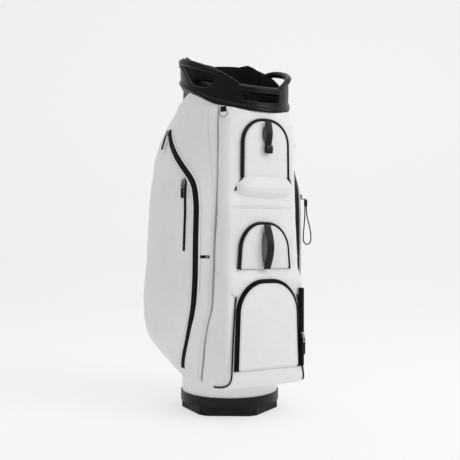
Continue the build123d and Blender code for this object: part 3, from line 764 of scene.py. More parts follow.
def finger_scoop(name, spec, drop):
    """A shallow scoop in the door behind the strap, to take the fingers, lined with a grey sheet whose
    colour is painted shade in the hollow.
    """
    face, centre = -spec["front"], spec["top"] - 3 - drop / 2
    half_w, half_h, deep, count = 13.0, drop / 2 - 5, 4.6, 40
    turns = [2 * math.pi * j / count for j in range(count + 1)]

    def ring(r, y, angles):
        return [(half_w * r * math.cos(a), y, centre + half_h * r * math.sin(a)) for a in angles]

    verts, bands = [], 12
    for i in range(bands + 1):
        polar = math.pi * i / bands
        verts += ring(math.sin(polar), face - 0.3 + deep * math.cos(polar), turns[:-1])
    cutter = new_mesh("cutter", verts, ring_faces(bands + 1, count)[:-2], WHITE, 1e-5)
    cut_away(bpy.data.objects[name + "_door_panel"], cutter)
    grid = []
    for i in range(12):
        r = 0.02 + 0.97 * i / 11
        grid.append(ring(r, face - 0.1 + (deep - 0.5) * math.sqrt(1 - r * r), turns))
    # This grey sheet is painted shade inside the scoop.
    thick_sheet(name + "_finger_scoop", grid, FORWARD, 0.5, SCOOP_SHADE, name + "_door")


def door_pull(name, spec, width, drop, bow, block):
    """A bowed strap, sewn at both ends down the middle of a door, with a keeper block if it has one."""
    finger_scoop(name, spec, drop)
    body = name + "_door"
    face, top = -(spec["front"] + 3.0), spec["top"] - 1
    path = []
    for t in shares(41):
        lift = bow * math.sin(math.pi * clamp((t - 0.03) / 0.94)) ** 0.9
        path.append((0, face - 1.5 - lift, top - drop * t))
    path = soften(path, 1.6)
    strap = swept(name + "_pull_strap", path, FORWARD, oval(width, 3.4, 16, 5), BLACK_LEATHER, body)
    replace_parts(strap, body + "_pull")
    for s, end in ((-1, "l"), (1, "r")):
        stitches(f"{name}_pull_stitch_{end}", path + np.array([s * (width / 2 - 2), -1.75, 0]), FORWARD,
                 BLACK_THREAD, body, size=(2.6, 1.2, 0.7))
    swept(name + "_pull_ridge", path[3:-3] + np.array([0, -1.7, 0]), FORWARD, oval(4.4, 1.6, 10),
          BLACK_LEATHER, body)
    if block:
        rings = []
        for v in shares(15):
            swell = math.sin(math.pi * v)
            ring = oval((width + 3) * (0.9 + 0.1 * swell), 10 * (0.72 + 0.28 * swell), 24, 5)
            rings.append([(x, face - 5 + y, top - drop + 1 - block * v) for x, y in ring])
        lofted(name + "_pull_keeper", rings, BLACK_LEATHER, body)


door_pull("upper", UPPER, 17, 56, 7, 19)
door_pull("middle", MIDDLE, 18, 100, 16, 0)


def pouch():
    """The full lower part of the upper pocket: it swells out below the door and rolls back under."""
    low, high, root = 520.0, 566.0, 160.5
    grid = []
    for v in shares(40):
        front = float(np.interp(v, [0, 0.15, 0.35, 0.55, 0.75, 0.9, 1],
                                [172, 176, 180, 181, 177, 170, 162]))
        width = 61 + 16 * min(1, v / 0.45) - 20 * max(0, (v - 0.55) / 0.45) ** 2
        row = []
        for t in shares(71):
            u = -1 + 2 * t
            side = (1 - abs(u) ** 5) ** 0.6 if abs(u) < 1 else 0
            x, z = width * u, high - (high - low) * v - 5 * (1 - u * u) * v * v
            row.append((x, -root - (front - root) * side - ripple(x, z, 0.8, 1.0) * side, z))
        grid.append(row)
    piece = thick_sheet("upper_pouch_panel", grid, FORWARD, 2.5, WHITE)
    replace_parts(piece, "upper_pouch")
    for side, points in (("left", [(-61, -167, 566), (-64, -166, 558), (-72, -163, 546),
                                   (-79, -161.5, 531)]),
                         ("right", [(62, -167, 566), (69, -166, 553), (70, -164, 541),
                                    (63, -163, 530), (48, -164, 522)])):
        swept("pouch_piping_" + side, soften(resample(points, 40), 3), FORWARD, oval(4.2, 4.6, 10), BINDING)


pouch()

for piece in MADE:
    if piece.name.startswith(("upper_", "pouch_")):
        for vertex in piece.data.vertices:
            vertex.co.x += UPPER_SHIFT * MM


# ---------------------------------------------------------------- ball pocket zip and piping
def ball_gusset():
    """The steep black gusset round the ball door, its zip, and the frame's piping and stitches."""
    steps = [(10.4, -178.5), (9.2, -181.0), (7.4, -184.5), (5.0, -189.0), (2.6, -193.0), (0.8, -194.8)]
    gusset = thick_sheet("ball_zip_gusset", [arch_path(BALL, grow, y, 150) for grow, y in steps], FORWARD,
                         3.0, TAPE)
    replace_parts(gusset, "ball_zip_tape")
    zip_teeth("ball_zip_chain", arch_path(BALL, 6.6, -188.4, 260), FORWARD)
    swept("ball_frame_piping", soften(arch_path(BALL, 10.0, -185.0, 200), 1.5), FORWARD,
          oval(3.4, 3.6, 10), PIPING)
    stitches("ball_frame_stitch", arch_path(BALL, 14.5, -186.6, 260), FORWARD)


ball_gusset()

PIPE_LINE = [(82, -185.5, 292), (85.5, -186.5, 262), (89.5, -186.8, 200), (93, -187.5, 140),
             (96, -190.5, 104), (101, -185, 92), (110, -164, 85), (115, -140, 83.5)]


def ball_pipe(name, side):
    """Black piping down the ball pocket's corner and back along its hem."""
    line = soften(resample(flipped(PIPE_LINE, side), 90), 3)
    pipe = swept("ball_piping_" + name, line, (side, -1, 0.2), oval(4.0, 4.0, 10), BLACK_LEATHER)
    if side < 0:
        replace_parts(pipe, "ball_piping")


both_sides(ball_pipe)


def zip_welt():
    """The upright strip beside the ball door that its zip slider runs along."""
    zs = np.linspace(124, 306, 60)
    line = np.stack([0 * zs + BALL["half"] + 12, 0 * zs - 187.6, zs], 1)
    swept("ball_zip_welt", line, FORWARD, oval(13, 8.0, 18, 5), TAPE)
    zip_teeth("ball_zip_welt_chain", resample(line + np.array([0, -4.1, 0]), 120), FORWARD)


zip_welt()


def seam_ridge(name, points):
    """A turned seam in the leather: a low rounded ridge with a stitch line beside it."""
    line = soften(resample(points, 80), 3)
    swept(name, line, FORWARD, oval(3.2, 2.2, 10), PIPING)
    stitches(name + "_stitch", line + np.array([0, -0.6, 4.0]), FORWARD, size=FINE_STITCH)


both_sides(lambda name, side: seam_ridge("diagonal_seam_" + name, flipped(
    [(109, -131, 345), (107.5, -150, 332), (102.5, -172.5, 314), (92, -183.5, 300), (82, -186, 290)], side)))
seam_ridge("hem_seam", mirrored([(107, -131, 370), (103, -147.5, 361), (95, -160.5, 352),
                                 (84, -168, 346), (60, -171.5, 343), (0, -173, 341)]))
seam_ridge("arch_seam", mirrored([(103.5, -132, 470), (99, -151, 482), (86, -163, 490),
                                  (40, -167, 493), (0, -168, 494)]))


def hem_rivet(name, side):
    """A small domed rivet at the end of the hem's piping."""
    grid = []
    for i in range(7):
        a = math.pi / 2 * i / 6
        grid.append([(side * (121.2 + 1.8 * math.cos(a)), -88 + 2.6 * math.sin(a) * math.cos(b),
                      92 + 2.6 * math.sin(a) * math.sin(b)) for b in np.linspace(0, 2 * math.pi, 17)])
    thick_sheet("hem_rivet_" + name, grid, (side, 0, 0), 0.8, NICKEL)


both_sides(hem_rivet)


# ---------------------------------------------------------------- side pockets
# Each row: height, then the seam, two points across the gusset, the crease, and three round the panel.
SIDE_SECTIONS = [
    (84, (121, -84), (122.5, -55), (122, -28), (121, 0), (120, 30), (112, 55), (105, 62)),
    (104, (121, -88), (124, -57), (125.5, -27), (126, 4), (134, 40), (128, 78), (100, 92)),
    (130, (120, -92), (125, -64), (128, -37), (131, -10), (152, 42), (146, 95), (90, 112)),
    (175, (119, -97), (125, -77), (130, -57), (134, -38), (184, 40), (187, 107), (66, 122)),
    (225, (117, -112), (124, -97), (131, -82), (138, -66), (192, 36), (197, 110), (62, 124)),
    (262, (114, -128), (123, -115), (132, -101), (141, -87), (195, 34), (199, 110), (62, 124)),
    (330, (110, -128), (121, -120), (132, -112), (144, -103), (192, 32), (195, 108), (62, 124)),
    (420, (107, -128), (119, -121), (132, -113), (144, -105), (187, 30), (189, 106), (62, 124)),
    (500, (104, -132), (117, -123), (130, -115), (142, -106), (183, 30), (184, 105), (62, 124)),
    (551, (103, -134), (118, -121), (131, -110), (144, -98), (178, 34), (180, 104), (62, 123)),
    (610, (103, -135), (122, -103), (141, -70), (158, -36), (171, 40), (172, 100), (62, 122)),
    (650, (103, -136), (122, -97), (142, -48), (158, 4), (160, 50), (160, 95), (62, 120)),
    (690, (103, -135), (121, -94), (139, -42), (148, 40), (146, 60), (143, 88), (80, 106)),
    (716, (98, -129), (120, -90), (135, -42), (140, 36), (139, 52), (134, 74), (92, 88)),
    (738, (94, -123), (119, -87), (132, -46), (132, 26), (128, 40), (121, 54), (104, 62)),
    (760, (94, -123), (118, -87), (131.5, -48), (131, 14), (121, 28), (114, 38), (110, 44)),
    (840, (94, -123), (118, -87), (131.5, -48), (131, 10), (121, 24), (114, 34), (110, 42)),
]
GUSSET = Loft([(z, points[:4]) for z, *points in SIDE_SECTIONS], 26, 14.0, 1.6)
PANEL = Loft([(z, points[3:]) for z, *points in SIDE_SECTIONS], 64, 14.0, 3.4)
TOP_FRONT = -56               # in front of this the pockets reach up under the collar
TOP_EDGE = [(TOP_FRONT, under_lip(TOP_FRONT)), (-20, 765), (20, 750), (40, 742), (62, 720), (100, 676),
            (126, 640)]

# The right gusset's black panel lies between two slanting planes: how much they lean, and their reach.
BLACK_PANEL = {end: (lean, start + lean * 104)
               for end, lean, start in (("top", 80 / 39, 655), ("low", 31 / 39, 324))}


def pocket_top(y):
    """The pocket's upper edge: under the collar in front, then sloping down behind."""
    return under_lip(y) if y < TOP_FRONT else float(np.interp(y, *zip(*TOP_EDGE)))


def darken_gusset(obj):
    """Makes the right gusset black mesh between two slanting seams."""
    mesh = obj.data
    mesh.materials.append(MESH)
    cut = bmesh.new()
    cut.from_mesh(mesh)
    for lean, reach in BLACK_PANEL.values():
        everything = list(cut.verts) + list(cut.edges) + list(cut.faces)
        bmesh.ops.bisect_plane(cut, geom=everything, dist=1e-7, plane_co=(0, 0, reach * MM),
                               plane_no=(lean, 0, 1))
    cut.to_mesh(mesh)
    cut.free()
    (top_lean, top), (low_lean, low) = BLACK_PANEL.values()
    for face in mesh.polygons:
        x, y, z = (c / MM for c in face.center)
        if z + top_lean * x < top and z + low_lean * x > low:
            face.material_index = 1


def panel_piping(side):
    """White piping along the two slanting edges of the black panel."""
    for end, start in (("top", 600.0), ("low", 310.0)):
        lean, reach = BLACK_PANEL[end]
        points = []
        for j in range(1, GUSSET.columns):
            z = start
            for _ in range(25):
                z += 0.4 * (reach - lean * GUSSET.at(j, np.array(z))[0] - z)
            points.append(GUSSET.at(j, np.array(z)))
        line = soften(resample(points, 60), 2) + np.array([1.8, -2.6, 0])
        swept("black_panel_piping_" + end, flipped(line, side), (0.6 * side, -1, 0), oval(4.0, 3.4, 10),
              PIPING)


def side_pocket(name, side):
    """A side pocket: the gusset that faces forward and the big padded panel."""
    outward = (side * 0.6, -1, 0)

    def gusset_swell(x, y, z, u):
        full = 3.0 * math.sin(math.pi * u) * clamp((740 - z) / 120) * clamp((z - 90) / 60)
        return full + ripple(y, z, 0.9, 2.0 + side) * math.sin(math.pi * u)

    def panel_swell(x, y, z, u):
        return ripple(y + 0.5 * x * side, z, 1.5, 3.0 + side) * max(0, min(1, u / 0.12, (1 - u) / 0.2))

    gusset = swollen(flipped(GUSSET.grid(pocket_top, 120), side), outward, gusset_swell)
    gusset = pinched(gusset, outward, (1,), (4.0, 1.6))
    front = thick_sheet("side_gusset_" + name, gusset, outward, 2.2, WHITE)
    if side > 0:
        darken_gusset(front)
        panel_piping(side)
    panel = swollen(flipped(PANEL.grid(pocket_top, 120), side), (side, 0, 0), panel_swell)
    piece = thick_sheet("side_panel_" + name, panel, (side, 0, 0), 2.2, WHITE)
    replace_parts(piece, "side_pocket_" + name)


both_sides(side_pocket)


def seam_bead(name, side):
    """The turned-in fold at the bottom of the front seam, coloured grey as painted shade in the seam's
    valley, and the stitch line beside it.
    """
    zs = np.linspace(90, 724, 150)
    line = flipped(GUSSET.at(0, zs), side)
    out = np.array([[side * 0.75, -0.66, 0.0]] * len(line))
    swept("side_seam_fold_" + name, line - out * 3.4, out, oval(5.0, 4.0, 12), SEAM_SHADE)
    stitches("side_seam_stitch_" + name, flipped(GUSSET.at(4, zs), side) + out * 1.6, out)


both_sides(seam_bead)


def side_zip(name, side):
    """The long zip down the crease between gusset and panel, piped and stitched on both sides."""
    path = flipped(GUSSET.at(GUSSET.columns - 1, np.linspace(690, 106, 150)), side)
    low, high = np.array([side * 0.80, -0.60, 0.0]), np.array([side * 0.94, -0.15, 0.28])
    share = np.clip((path[:, 2:] - 551) / 130, 0, 1)
    up = low * (1 - share) + high * share
    up /= np.linalg.norm(up, axis=1, keepdims=True)
    lifted = path + up * 0.6
    tape = swept("side_tape_" + name, lifted, up, oval(15, 2.2, 14, 4), TAPE)
    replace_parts(tape, "side_zip_tape_" + name)
    zip_teeth("side_zip_chain_" + name, lifted + up * 1.1, up)
    _, across, _ = frames_along(path, up)
    for end, way in (("front", 1), ("back", -1)):
        swept(f"side_zip_piping_{name}_{end}", path + across * way * 9.2 + up * 0.4, up,
              oval(4.6, 3.6, 10), PIPING)
        stitches(f"side_zip_stitch_{name}_{end}", path + across * way * 12.8 + up * 0.6, up)


both_sides(side_zip)


# ---------------------------------------------------------------- collar and grips
# The collar wall's height by the angle from the front.
WALL_TOP = [(0, 21), (21, 22), (24.5, 60), (30, 66), (38, 73), (44, 79), (46.5, 78), (48.5, 66), (50, 50),
            (53, 40), (58, 33), (66, 28), (74, 27), (80, 31), (86, 42), (92, 51), (100, 59), (108, 65),
            (116, 69), (128, 74), (142, 80), (180, 80)]
# The side grips' centre line: angle, height above the rim's plane, and distance outside the wall.
GRIP_LINE = [(39, 60, -4), (44, 69, -1.5), (52, 73.5, 1), (64, 76, 3), (78, 77, 4), (90, 75.5, 4),
             (100, 72, 3), (108, 66, 1), (114, 58, -1)]
# Sections as (distance outside the wall, height above the rim's plane).
LIP_SECTION = [(-4.5, -1.0), (1.5, -1.2), (3.0, 0.2), (3.4, 3.0), (3.4, 6.5), (2.4, 9.2), (0.6, 10.8),
               (0.2, 13.0)]
GRIP_SECTION = [(-10.5, 45.5), (-10.0, 43.4), (-8.0, 42.0), (-5.0, 41.6), (-2.0, 41.8), (0.4, 42.6),
                (1.9, 44.0), (2.3, 45.6), (2.0, 47.0), (0.6, 47.9), (0.6, 48.9), (2.0, 49.8),
                (2.3, 51.6), (1.8, 53.4), (0.8, 54.6), (-0.6, 55.8), (-2.8, 56.9), (-5.2, 57.3),
                (-7.6, 57.0), (-9.4, 56.0), (-10.4, 54.2), (-10.6, 50.0)]


def collar_height(angle):
    """The wall's height: columns beside the front grip, low at the sides, tall and level behind."""
    a = abs((angle + 180) % 360 - 180)
    return min(BACK_LEVEL - rim_point(angle, 0)[2], float(np.interp(a, *zip(*WALL_TOP))))


def collar_ring(angle):
    """One section of the collar: the rolled lip, up the outside, over the top and down the inside."""
    h = collar_height(angle)
    flare = 1.6 * step(h, 22, 60)
    profile = LIP_SECTION + [(flare * share, 15 + (h - 18.5) * share)
                             for share in (0.0, 0.2, 0.45, 0.7, 0.88, 1.0)]
    profile += [(flare - 0.7, h - 1.4), (flare - 2.2, h - 0.2), (flare - 4.0, h - 0.2), (-5.6, h - 1.6)]
    profile += [(-6.0, 12 + (h - 16) * share) for share in (1.0, 0.6, 0.25, 0.0)] + [(-6.0, 4.0)]
    rise = lip_rise(rim_point(angle, 0)[1])
    return [rim_point(angle, above + rise * step(grow, -5.0, -2.0) * (h - above) / h, grow)
            for grow, above in profile]


collar_piece = lofted("collar_moulding", [collar_ring(360.0 * i / 480) for i in range(480)], COLLAR,
                      closed=True)
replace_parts(collar_piece, "collar")


def front_grip():
    """The wide lift grip over the front of the collar, with two moulded ridges."""
    rings = []
    for i in range(121):
        angle = -30 + 60 * i / 120
        fade = step(abs(angle), 23, 30)
        rings.append([rim_point(angle, above * (1 - fade) + (49 + (above - 49) * 0.8) * fade,
                                grow * (1 - fade) + (-2.5 + (grow + 2.5) * 0.35) * fade)
                      for grow, above in GRIP_SECTION])
    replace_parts(lofted("front_lift_grip", rings, COLLAR), "front_handle")


front_grip()


def side_grip(name, side):
    """An arched, padded carry grip over the opening in the collar's side."""
    points = [rim_point(side * angle, above, grow - 1) for angle, above, grow in GRIP_LINE]
    path = soften(resample(points, 90), 4)
    sections = [scaled(oval(17.0, 13.5, 24, 2.3), 1.0 - 0.2 * abs(2 * t - 1) ** 3)
                for t in shares(len(path))]
    outward = np.array([[p[0], p[1] - RIM_CY, 0] for p in path])
    outward /= np.linalg.norm(outward, axis=1, keepdims=True)
    piece = swept("side_grip_" + name, path, outward, sections, COLLAR)
    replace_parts(piece, "side_handle_" + name)
    ridge = path + outward * 6.8 + np.array([0, 0, 2.0])
    swept("side_grip_ridge_" + name, ridge[8:-14], outward[8:-14], oval(2.6, 2.0, 10), COLLAR)


both_sides(side_grip)


def rim_liner():
    """Soft black puffs of padding inside the tall back of the collar."""
    rings, puffs, low, count = [], 4, 21, 20
    for t in shares(141):
        angle = 119 + 122 * t
        lump = 0.35 + 0.65 * abs(math.sin(math.pi * puffs * t + 0.5)) ** 0.6
        swell = 5.0 * lump * (step(t, 0, 0.05) * step(1 - t, 0, 0.05))
        thick, top = 3.0 + swell, min(collar_height(angle) - 1, 78) + swell
        ring = []
        for k in range(count):
            a = 2 * math.pi * k / count
            c, s = math.cos(a), math.sin(a)
            ring.append(rim_point(
                angle, (low + top) / 2 + math.copysign(abs(s) ** 0.5, s) * (top - low) / 2,
                -6.8 - thick / 2 + math.copysign(abs(c) ** 0.7, c) * thick / 2))
        rings.append(ring)
    piece = lofted("rim_padding", rings, MESH)
    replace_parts(piece, "rim_pad")


rim_liner()


# ---------------------------------------------------------------- dividers
ROW_Y = (-88.0, -43.0, 2.0, 47.0)
COLUMN_X = 40.0
RAIL_ABOVE, RAIL_GAP, CLOTH_GAP = 12.0, 5.5, 3.0
INNER_RX, INNER_RY = COLLAR_RX - COLLAR_WALL, COLLAR_RY - COLLAR_WALL


def bays():
    """Each lengthwise wall's x, and the cross rows before and behind it: None at the collar."""
    edges = (None, *ROW_Y, None)
    for row in range(len(ROW_Y) + 1):
        for x in ((0.0,) if row == 0 else (-COLUMN_X, COLUMN_X)):
            yield x, edges[row], edges[row + 1]


def between(before, behind, gap, near, far):
    """Where a lengthwise wall starts and ends: a gap from its rows, or at the given limits."""
    return near if before is None else before + gap, far if behind is None else behind - gap


def soft_rail(start, end):
    """A fleece-covered divider bar on the rim's plane, softly uneven, between two (x, y) ends."""
    start, end = (np.array([x, y, rim_z(y, RAIL_ABOVE)]) for x, y in (start, end))
    path, sections = [], []
    for t in shares(max(5, int(np.linalg.norm(end - start) / 5)) + 1):
        point = start + (end - start) * t
        point[2] += 0.7 * math.sin(5 * t + point[0] / 30)
        path.append(point)
        sections.append(scaled(oval(12.5, 14.0, 16, 2.6), 1 + 0.05 * math.sin(11 * t + point[1] / 20)))
    return sweep(path, (0, 0, 1), sections)


def rails():
    """The padded bars across the collar."""
    cross, short = [], []
    for y in ROW_Y:
        half = INNER_RX * math.sqrt(1 - ((y - RIM_CY) / INNER_RY) ** 2) - 0.5
        cross.append(soft_rail((-half, y), (half, y)))
    for x, before, behind in bays():
        reach = INNER_RY * math.sqrt(1 - (x / INNER_RX) ** 2) - 0.5
        near, far = between(before, behind, RAIL_GAP, RIM_CY - reach, RIM_CY + reach)
        short.append(soft_rail((x, near), (x, far)))
    for kind, parts in (("cross", cross), ("short", short)):
        piece = joined(kind + "_rails", parts, FLEECE)
        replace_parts(piece, f"divider_{kind}_rails")


rails()


def tube_oval(z, inset=4.5):
    """The tube's inside at a height: its centre's y and its two radii."""
    t = clamp((z - 45) / 715)
    return -25 * t, 119.5 + 7 * t - inset, 119.5 + 13 * t - inset


def tube_half_width(y, z):
    cy, rx, ry = tube_oval(z)
    return rx * math.sqrt(max(0, 1 - ((y - cy) / ry) ** 2))


def tube_reach(x, z):
    """How far the tube's inside reaches forward and back, clear of the front pockets."""
    cy, rx, ry = tube_oval(z)
    reach = ry * math.sqrt(max(0, 1 - (x / rx) ** 2))
    front = -123.0 if z < 640 else -123 - 34 * (z - 640) / 74
    return max(cy - reach, front), cy + reach


def hanging_cloth(ends, columns, rows=40, top_above=6):
    """A divider panel hung from its rail, with soft waves. ends(z) gives its two (x, y) ends."""
    grid = []
    for i in range(rows):
        row = []
        for u in shares(columns):
            (x0, y0), (x1, y1) = ends(800 - (800 - CLOTH_LOW) * i / (rows - 1))
            top = rim_z(y0 + (y1 - y0) * u, top_above)
            z = top + (CLOTH_LOW - top) * i / (rows - 1)
            (x0, y0), (x1, y1) = ends(z)
            side = np.array([y1 - y0, x0 - x1, 0.0])
            side /= np.linalg.norm(side)
            wave = 2.2 * math.sin(math.pi * u) * math.sin(7 * u + z / 95.0) * min(1, (top - z) / 150)
            row.append(np.array([x0 + (x1 - x0) * u, y0 + (y1 - y0) * u, z]) + side * wave)
        grid.append(row)
    return sheet(np.array(grid), side, 1.3)


def cloths():
    """The cloth walls under the rails."""
    def across(z):
        half = tube_half_width(y, z)
        return (-half, y), (half, y)

    def lengthwise(z):
        near, far = between(before, behind, CLOTH_GAP, *tube_reach(x, z))
        return (x, near), (x, far)

    cross, length = [], []
    for y in ROW_Y:
        cross.append(hanging_cloth(across, 31))
    for x, before, behind in bays():
        length.append(hanging_cloth(lengthwise, 9))
    for kind, parts in (("cross", cross), ("lengthwise", length)):
        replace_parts(joined(kind + "_cloths", parts, LINING), f"divider_{kind}_cloths")


cloths()


# ---------------------------------------------------------------- back: spine, strap
def spine():
    """The padded back panel, quilted across, which narrows in under the collar."""
    low, top = 82, rim_z(112, -1)
    grid = []
    for t in shares(120):
        z = low + (top - low) * t
        base = np.interp(z, [80, 100, 640, 720, 800, 830], [119, 121.5, 121.5, 121, 113.5, 110.0])
        channel = abs(math.sin(math.pi * (z - low) / 74)) ** 0.45
        fade = 1 - step(z, 700, 790)
        row = []
        for share in shares(31):
            u = -1 + 2 * share
            y = (base - 3.2 * abs(u) ** 2.4 + 2.4 * channel * (1 - abs(u) ** 5) * fade
                 - 1.4 * abs(u) ** 6)
            row.append((59.5 * u * (1 - 0.05 * step(z, 640, 800)), y, z))
        grid.append(row)
    piece = thick_sheet("spine_padding", grid, BACKWARD, 5.0, SPINE)
    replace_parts(piece, "spine_panel")
    for end, column in (("left", 0), ("right", -1)):
        swept("spine_binding_" + end, [row[column] for row in grid[::2]], BACKWARD, oval(7, 5, 12), BINDING)


spine()


def simulate_pad(obj, cap=4.0, voxel=5.0, pressure=4.0, stiffness=12, frames=20):
    """Puffs a closed mesh with cloth pressure, and keeps every point near where it started."""
    material = obj.data.materials[0]
    remesh = obj.modifiers.new("remesh", "REMESH")
    remesh.mode = "VOXEL"
    remesh.voxel_size = voxel * MM
    apply_modifiers(obj)
    mesh = obj.data
    mesh.materials.clear()
    mesh.materials.append(material)

    def places(shape):
        flat = np.zeros(len(shape.vertices) * 3)
        shape.vertices.foreach_get("co", flat)
        return flat.reshape(-1, 3)

    start = places(mesh)
    cloth = obj.modifiers.new("cloth", "CLOTH")
    cloth.settings.use_pressure = True
    cloth.settings.uniform_pressure_force = pressure
    cloth.settings.effector_weights.gravity = 0
    cloth.settings.tension_stiffness = cloth.settings.compression_stiffness = stiffness
    for number in range(1, frames + 1):
        bpy.context.scene.frame_set(number)
    graph = bpy.context.evaluated_depsgraph_get()
    shift = places(bpy.data.meshes.new_from_object(obj.evaluated_get(graph))) - start
    far = np.linalg.norm(shift, axis=1, keepdims=True)
    shift *= np.minimum(1, cap * MM / (far + 1e-9))
    obj.modifiers.clear()
    mesh.vertices.foreach_set("co", (start + shift).ravel())
    mesh.update()
    bpy.context.scene.frame_set(1)
    smooth = obj.modifiers.new("finer", "SUBSURF")
    smooth.levels = smooth.render_levels = 1
    mesh.polygons.foreach_set("use_smooth", [True] * len(mesh.polygons))


def pad_y(z):
    return np.interp(z, [353.3, 402, 482, 562, 650.7], [132, 139, 143, 141, 132])


def strap_pad():
    """The shoulder strap's pad, a long bowed pillow with a row of stitches down each edge."""
    rings = []
    for t in shares(44):
        z = PAD_LOW + (PAD_HIGH - PAD_LOW) * t
        end = min(1, (min(t, 1 - t) / 0.07)) ** 0.5 if 0 < t < 1 else 0.35
        waist = 1 - 0.08 * math.sin(math.pi * t)
        section = oval(58 * waist * (0.62 + 0.38 * end), 8.5 * (0.6 + 0.4 * end), 28, 3.4)
        rings.append([(a, pad_y(z) + 4 + b, z) for a, b in section])
    pad = lofted("shoulder_pad", rings, MESH)
    simulate_pad(pad)
    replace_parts(pad, "strap_pad")
    low, high = PAD_LOW + 6, PAD_HIGH - 6
    for s, end in ((-1, "l"), (1, "r")):
        line = []
        for i in range(60):
            z = low + (high - low) * i / 59
            line.append((s * 24 * (1 - 0.08 * math.sin(math.pi * i / 59)), pad_y(z) + 10.2, z))
        stitches("shoulder_pad_stitch_" + end, line, BACKWARD, BLACK_THREAD, slot="padded_fabric",
                 size=(3.4, 1.6, 0.9))


strap_pad()


def strap_webs():
    """The strap's two webs, from the rings to the pad."""
    parts = []
    for end, z, way in (("top", 745.0, -1), ("low", 259.0, 1)):
        path = [(0, SPINE_Y + out, z + drop * way)
                for out, drop in ((5.1, 24), (6.5, 34), (8, 64), (10.5, 84), (13.2, 106))]
        path = soften(resample(path, 40), 2)
        parts.append(sweep(path, BACKWARD, oval(38, 1.9, 20, 6)))
        for turn, edge in ((-1, "l"), (1, "r")):
            stitches(f"strap_stitch_{end}_{edge}", path[26:] + np.array([turn * 16, 1.2, 0]), BACKWARD,
                     BLACK_THREAD, slot="black_webbing")
    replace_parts(joined("strap_webbing", parts, WEBBING), "strap_webs")


strap_webs()


# ---------------------------------------------------------------- zip pulls and small pieces
def leather_tab(kind, origin, normal, up, length, width=9):
    """A zip pull: a leather strip with a rounded end, a stitched edge and a rivet."""
    name, body = kind + "_pull", kind + "_zip_pull"
    normal, up = np.array(normal, float), np.array(up, float)
    normal /= np.linalg.norm(normal)
    up -= normal * up.dot(normal)
    up /= np.linalg.norm(up)
    across = np.cross(up, normal)
    start = np.array(origin, float) + normal * 5.0 - up * 8.0
    half = width / 2
    outline = [(-half + 0.8, 0), (half - 0.8, 0), (half, -1.2)]
    outline += [(half, -length * s) for s in (0.25, 0.5, 0.75)]
    outline += [(half * math.cos(a), -(length - half) - half * math.sin(a))
                for a in np.linspace(0.05, math.pi - 0.05, 11)]
    outline += [(-half, -length * s) for s in (0.75, 0.5, 0.25)] + [(-half, -1.2)]

    def ring(inset, lift):
        return [start + across * x * (1 - 2 * inset / width)
                + up * (-length / 2 + (y + length / 2) * (1 - 2 * inset / length)) + normal * lift
                for x, y in outline]

    edge = ((0.5, -1.1), (0.0, -0.6), (0.0, 0.5), (0.5, 1.1), (1.4, 1.25))
    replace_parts(lofted(name, [ring(*at) for at in edge], BLACK_LEATHER, body), body + "_tab")
    loop = ring(1.7, 1.3)
    stitches(name + "_stitch", loop + loop[:1], normal, BLACK_THREAD, body, size=(2.0, 1.0, 0.5))
    centre = start - up * 5.0 + normal * 1.2
    dome = [[centre + (across * math.cos(a) + up * math.sin(a)) * radius + normal * lift
             for a in np.linspace(0, 2 * math.pi, 17)[:-1]]
            for radius, lift in ((2.6, 0.0), (2.5, 0.5), (1.8, 1.0), (0.9, 1.25))]
    lofted(name + "_rivet", dome, STEEL, body)


leather_tab("ball", (91.5, -193, 196), FORWARD, (0, 0, 1), 38)
leather_tab("welt", (-158.1, -68, 556), (-.92, -.39, 0), (0, 0, 1), 32)
leather_tab("left", (-151.2, 38, 686), (-.958, 0, .287), (.287, 0, .958), 40)


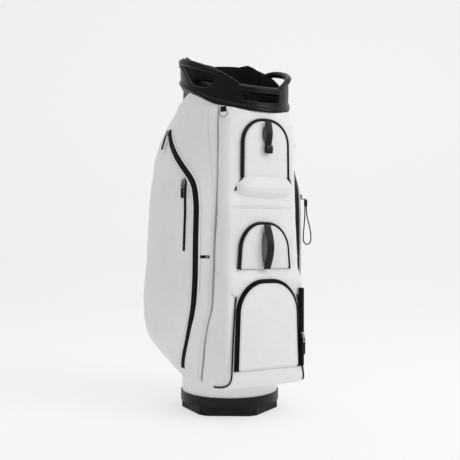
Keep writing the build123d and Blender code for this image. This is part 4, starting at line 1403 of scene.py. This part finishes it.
def welt_zip():
    """The short upright zip on the left pocket, with its two lips."""
    nose, across = np.array([-0.92, -0.39, 0.0]), np.array([0.39, -0.92, 0.0])
    path = []
    for z in np.linspace(566, 394, 70):
        line = PANEL.lines[np.argmin(abs(PANEL.heights - z))]
        near = line[np.argmin(abs(line[:, 1] + 68))]
        path.append((-near[0], near[1], z))
    path = soften(path, 4) + nose * 0.8
    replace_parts(swept("welt_tape", path, nose, oval(9, 2.0, 12, 4), TAPE), "welt_zip_tape")
    zip_teeth("welt_chain", path + nose * 1.0, nose, 2.2, 3.6)
    for way, end in ((-1, "back"), (1, "front")):
        swept("welt_lip_" + end, path + across * way * 5.6, nose, oval(3.6, 3.2, 10), PIPING)


welt_zip()


# ---------------------------------------------------------------- CAD nodes that keep their shape
def bevel(node, width, material):
    """Softens a CAD node's edges and gives it a better material."""
    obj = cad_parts[node]
    if width:
        modifier = obj.modifiers.new("soft_edges", "BEVEL")
        modifier.width = width * MM
        modifier.segments = 2
        modifier.limit_method = "ANGLE"
        modifier.angle_limit = math.radians(40)
    obj.data.materials.clear()
    obj.data.materials.append(material)


def tube_finish():
    """White below the pockets, black lining above and inside."""
    n = Nodes("tube_skin", 0.5)
    split = n.add("ShaderNodeSeparateXYZ")
    n.link(n.place, split.inputs["Vector"])
    edge = n.add("ShaderNodeMapRange", From_Min=0.110, From_Max=0.1105)
    n.link(split.outputs["Z"], edge.inputs["Value"])
    n.colour(edge.outputs["Result"], grey(0.84, 0.845), grey(0.010, 0.011), 0.2, 0.8)
    n.roughness(n.noise(45, 4), 0.42, 0.60)
    n.bump(n.pebbles(620, 1100), 0.3, 0.0004)
    return n.material


for finish, width, nodes in (
        (BASE, 1.2, "base_cup strap_adjuster"), (FOOT, 1.5, "base_foot"), (FOOT, 1.6, "loop_pull_knot"),
        (STEEL, 0.4, "base_screws"), (STEEL, 0.3, "cart_strap_rivets"), (STEEL, 0, "strap_rings towel_ring"),
        (STEEL, 0.15, "left_zip_pull_clip ball_zip_pull_clip welt_zip_pull_clip right_zip_pull_clip"),
        (NICKEL, 0.5, "ball_zip_slider welt_zip_slider left_zip_slider right_zip_slider"),
        (NICKEL, 0.3, "catch_magnets upper_door_magnet middle_door_magnet"),
        (STAY, 0.3, "frame_stays"), (STAY, 0.8, "catch_bars"),
        (WEBBING, 0.8, "strap_anchors towel_loop cart_strap_tabs"), (tube_finish(), 0, "body_tube")):
    for node in nodes.split():
        bevel(node, width, finish)
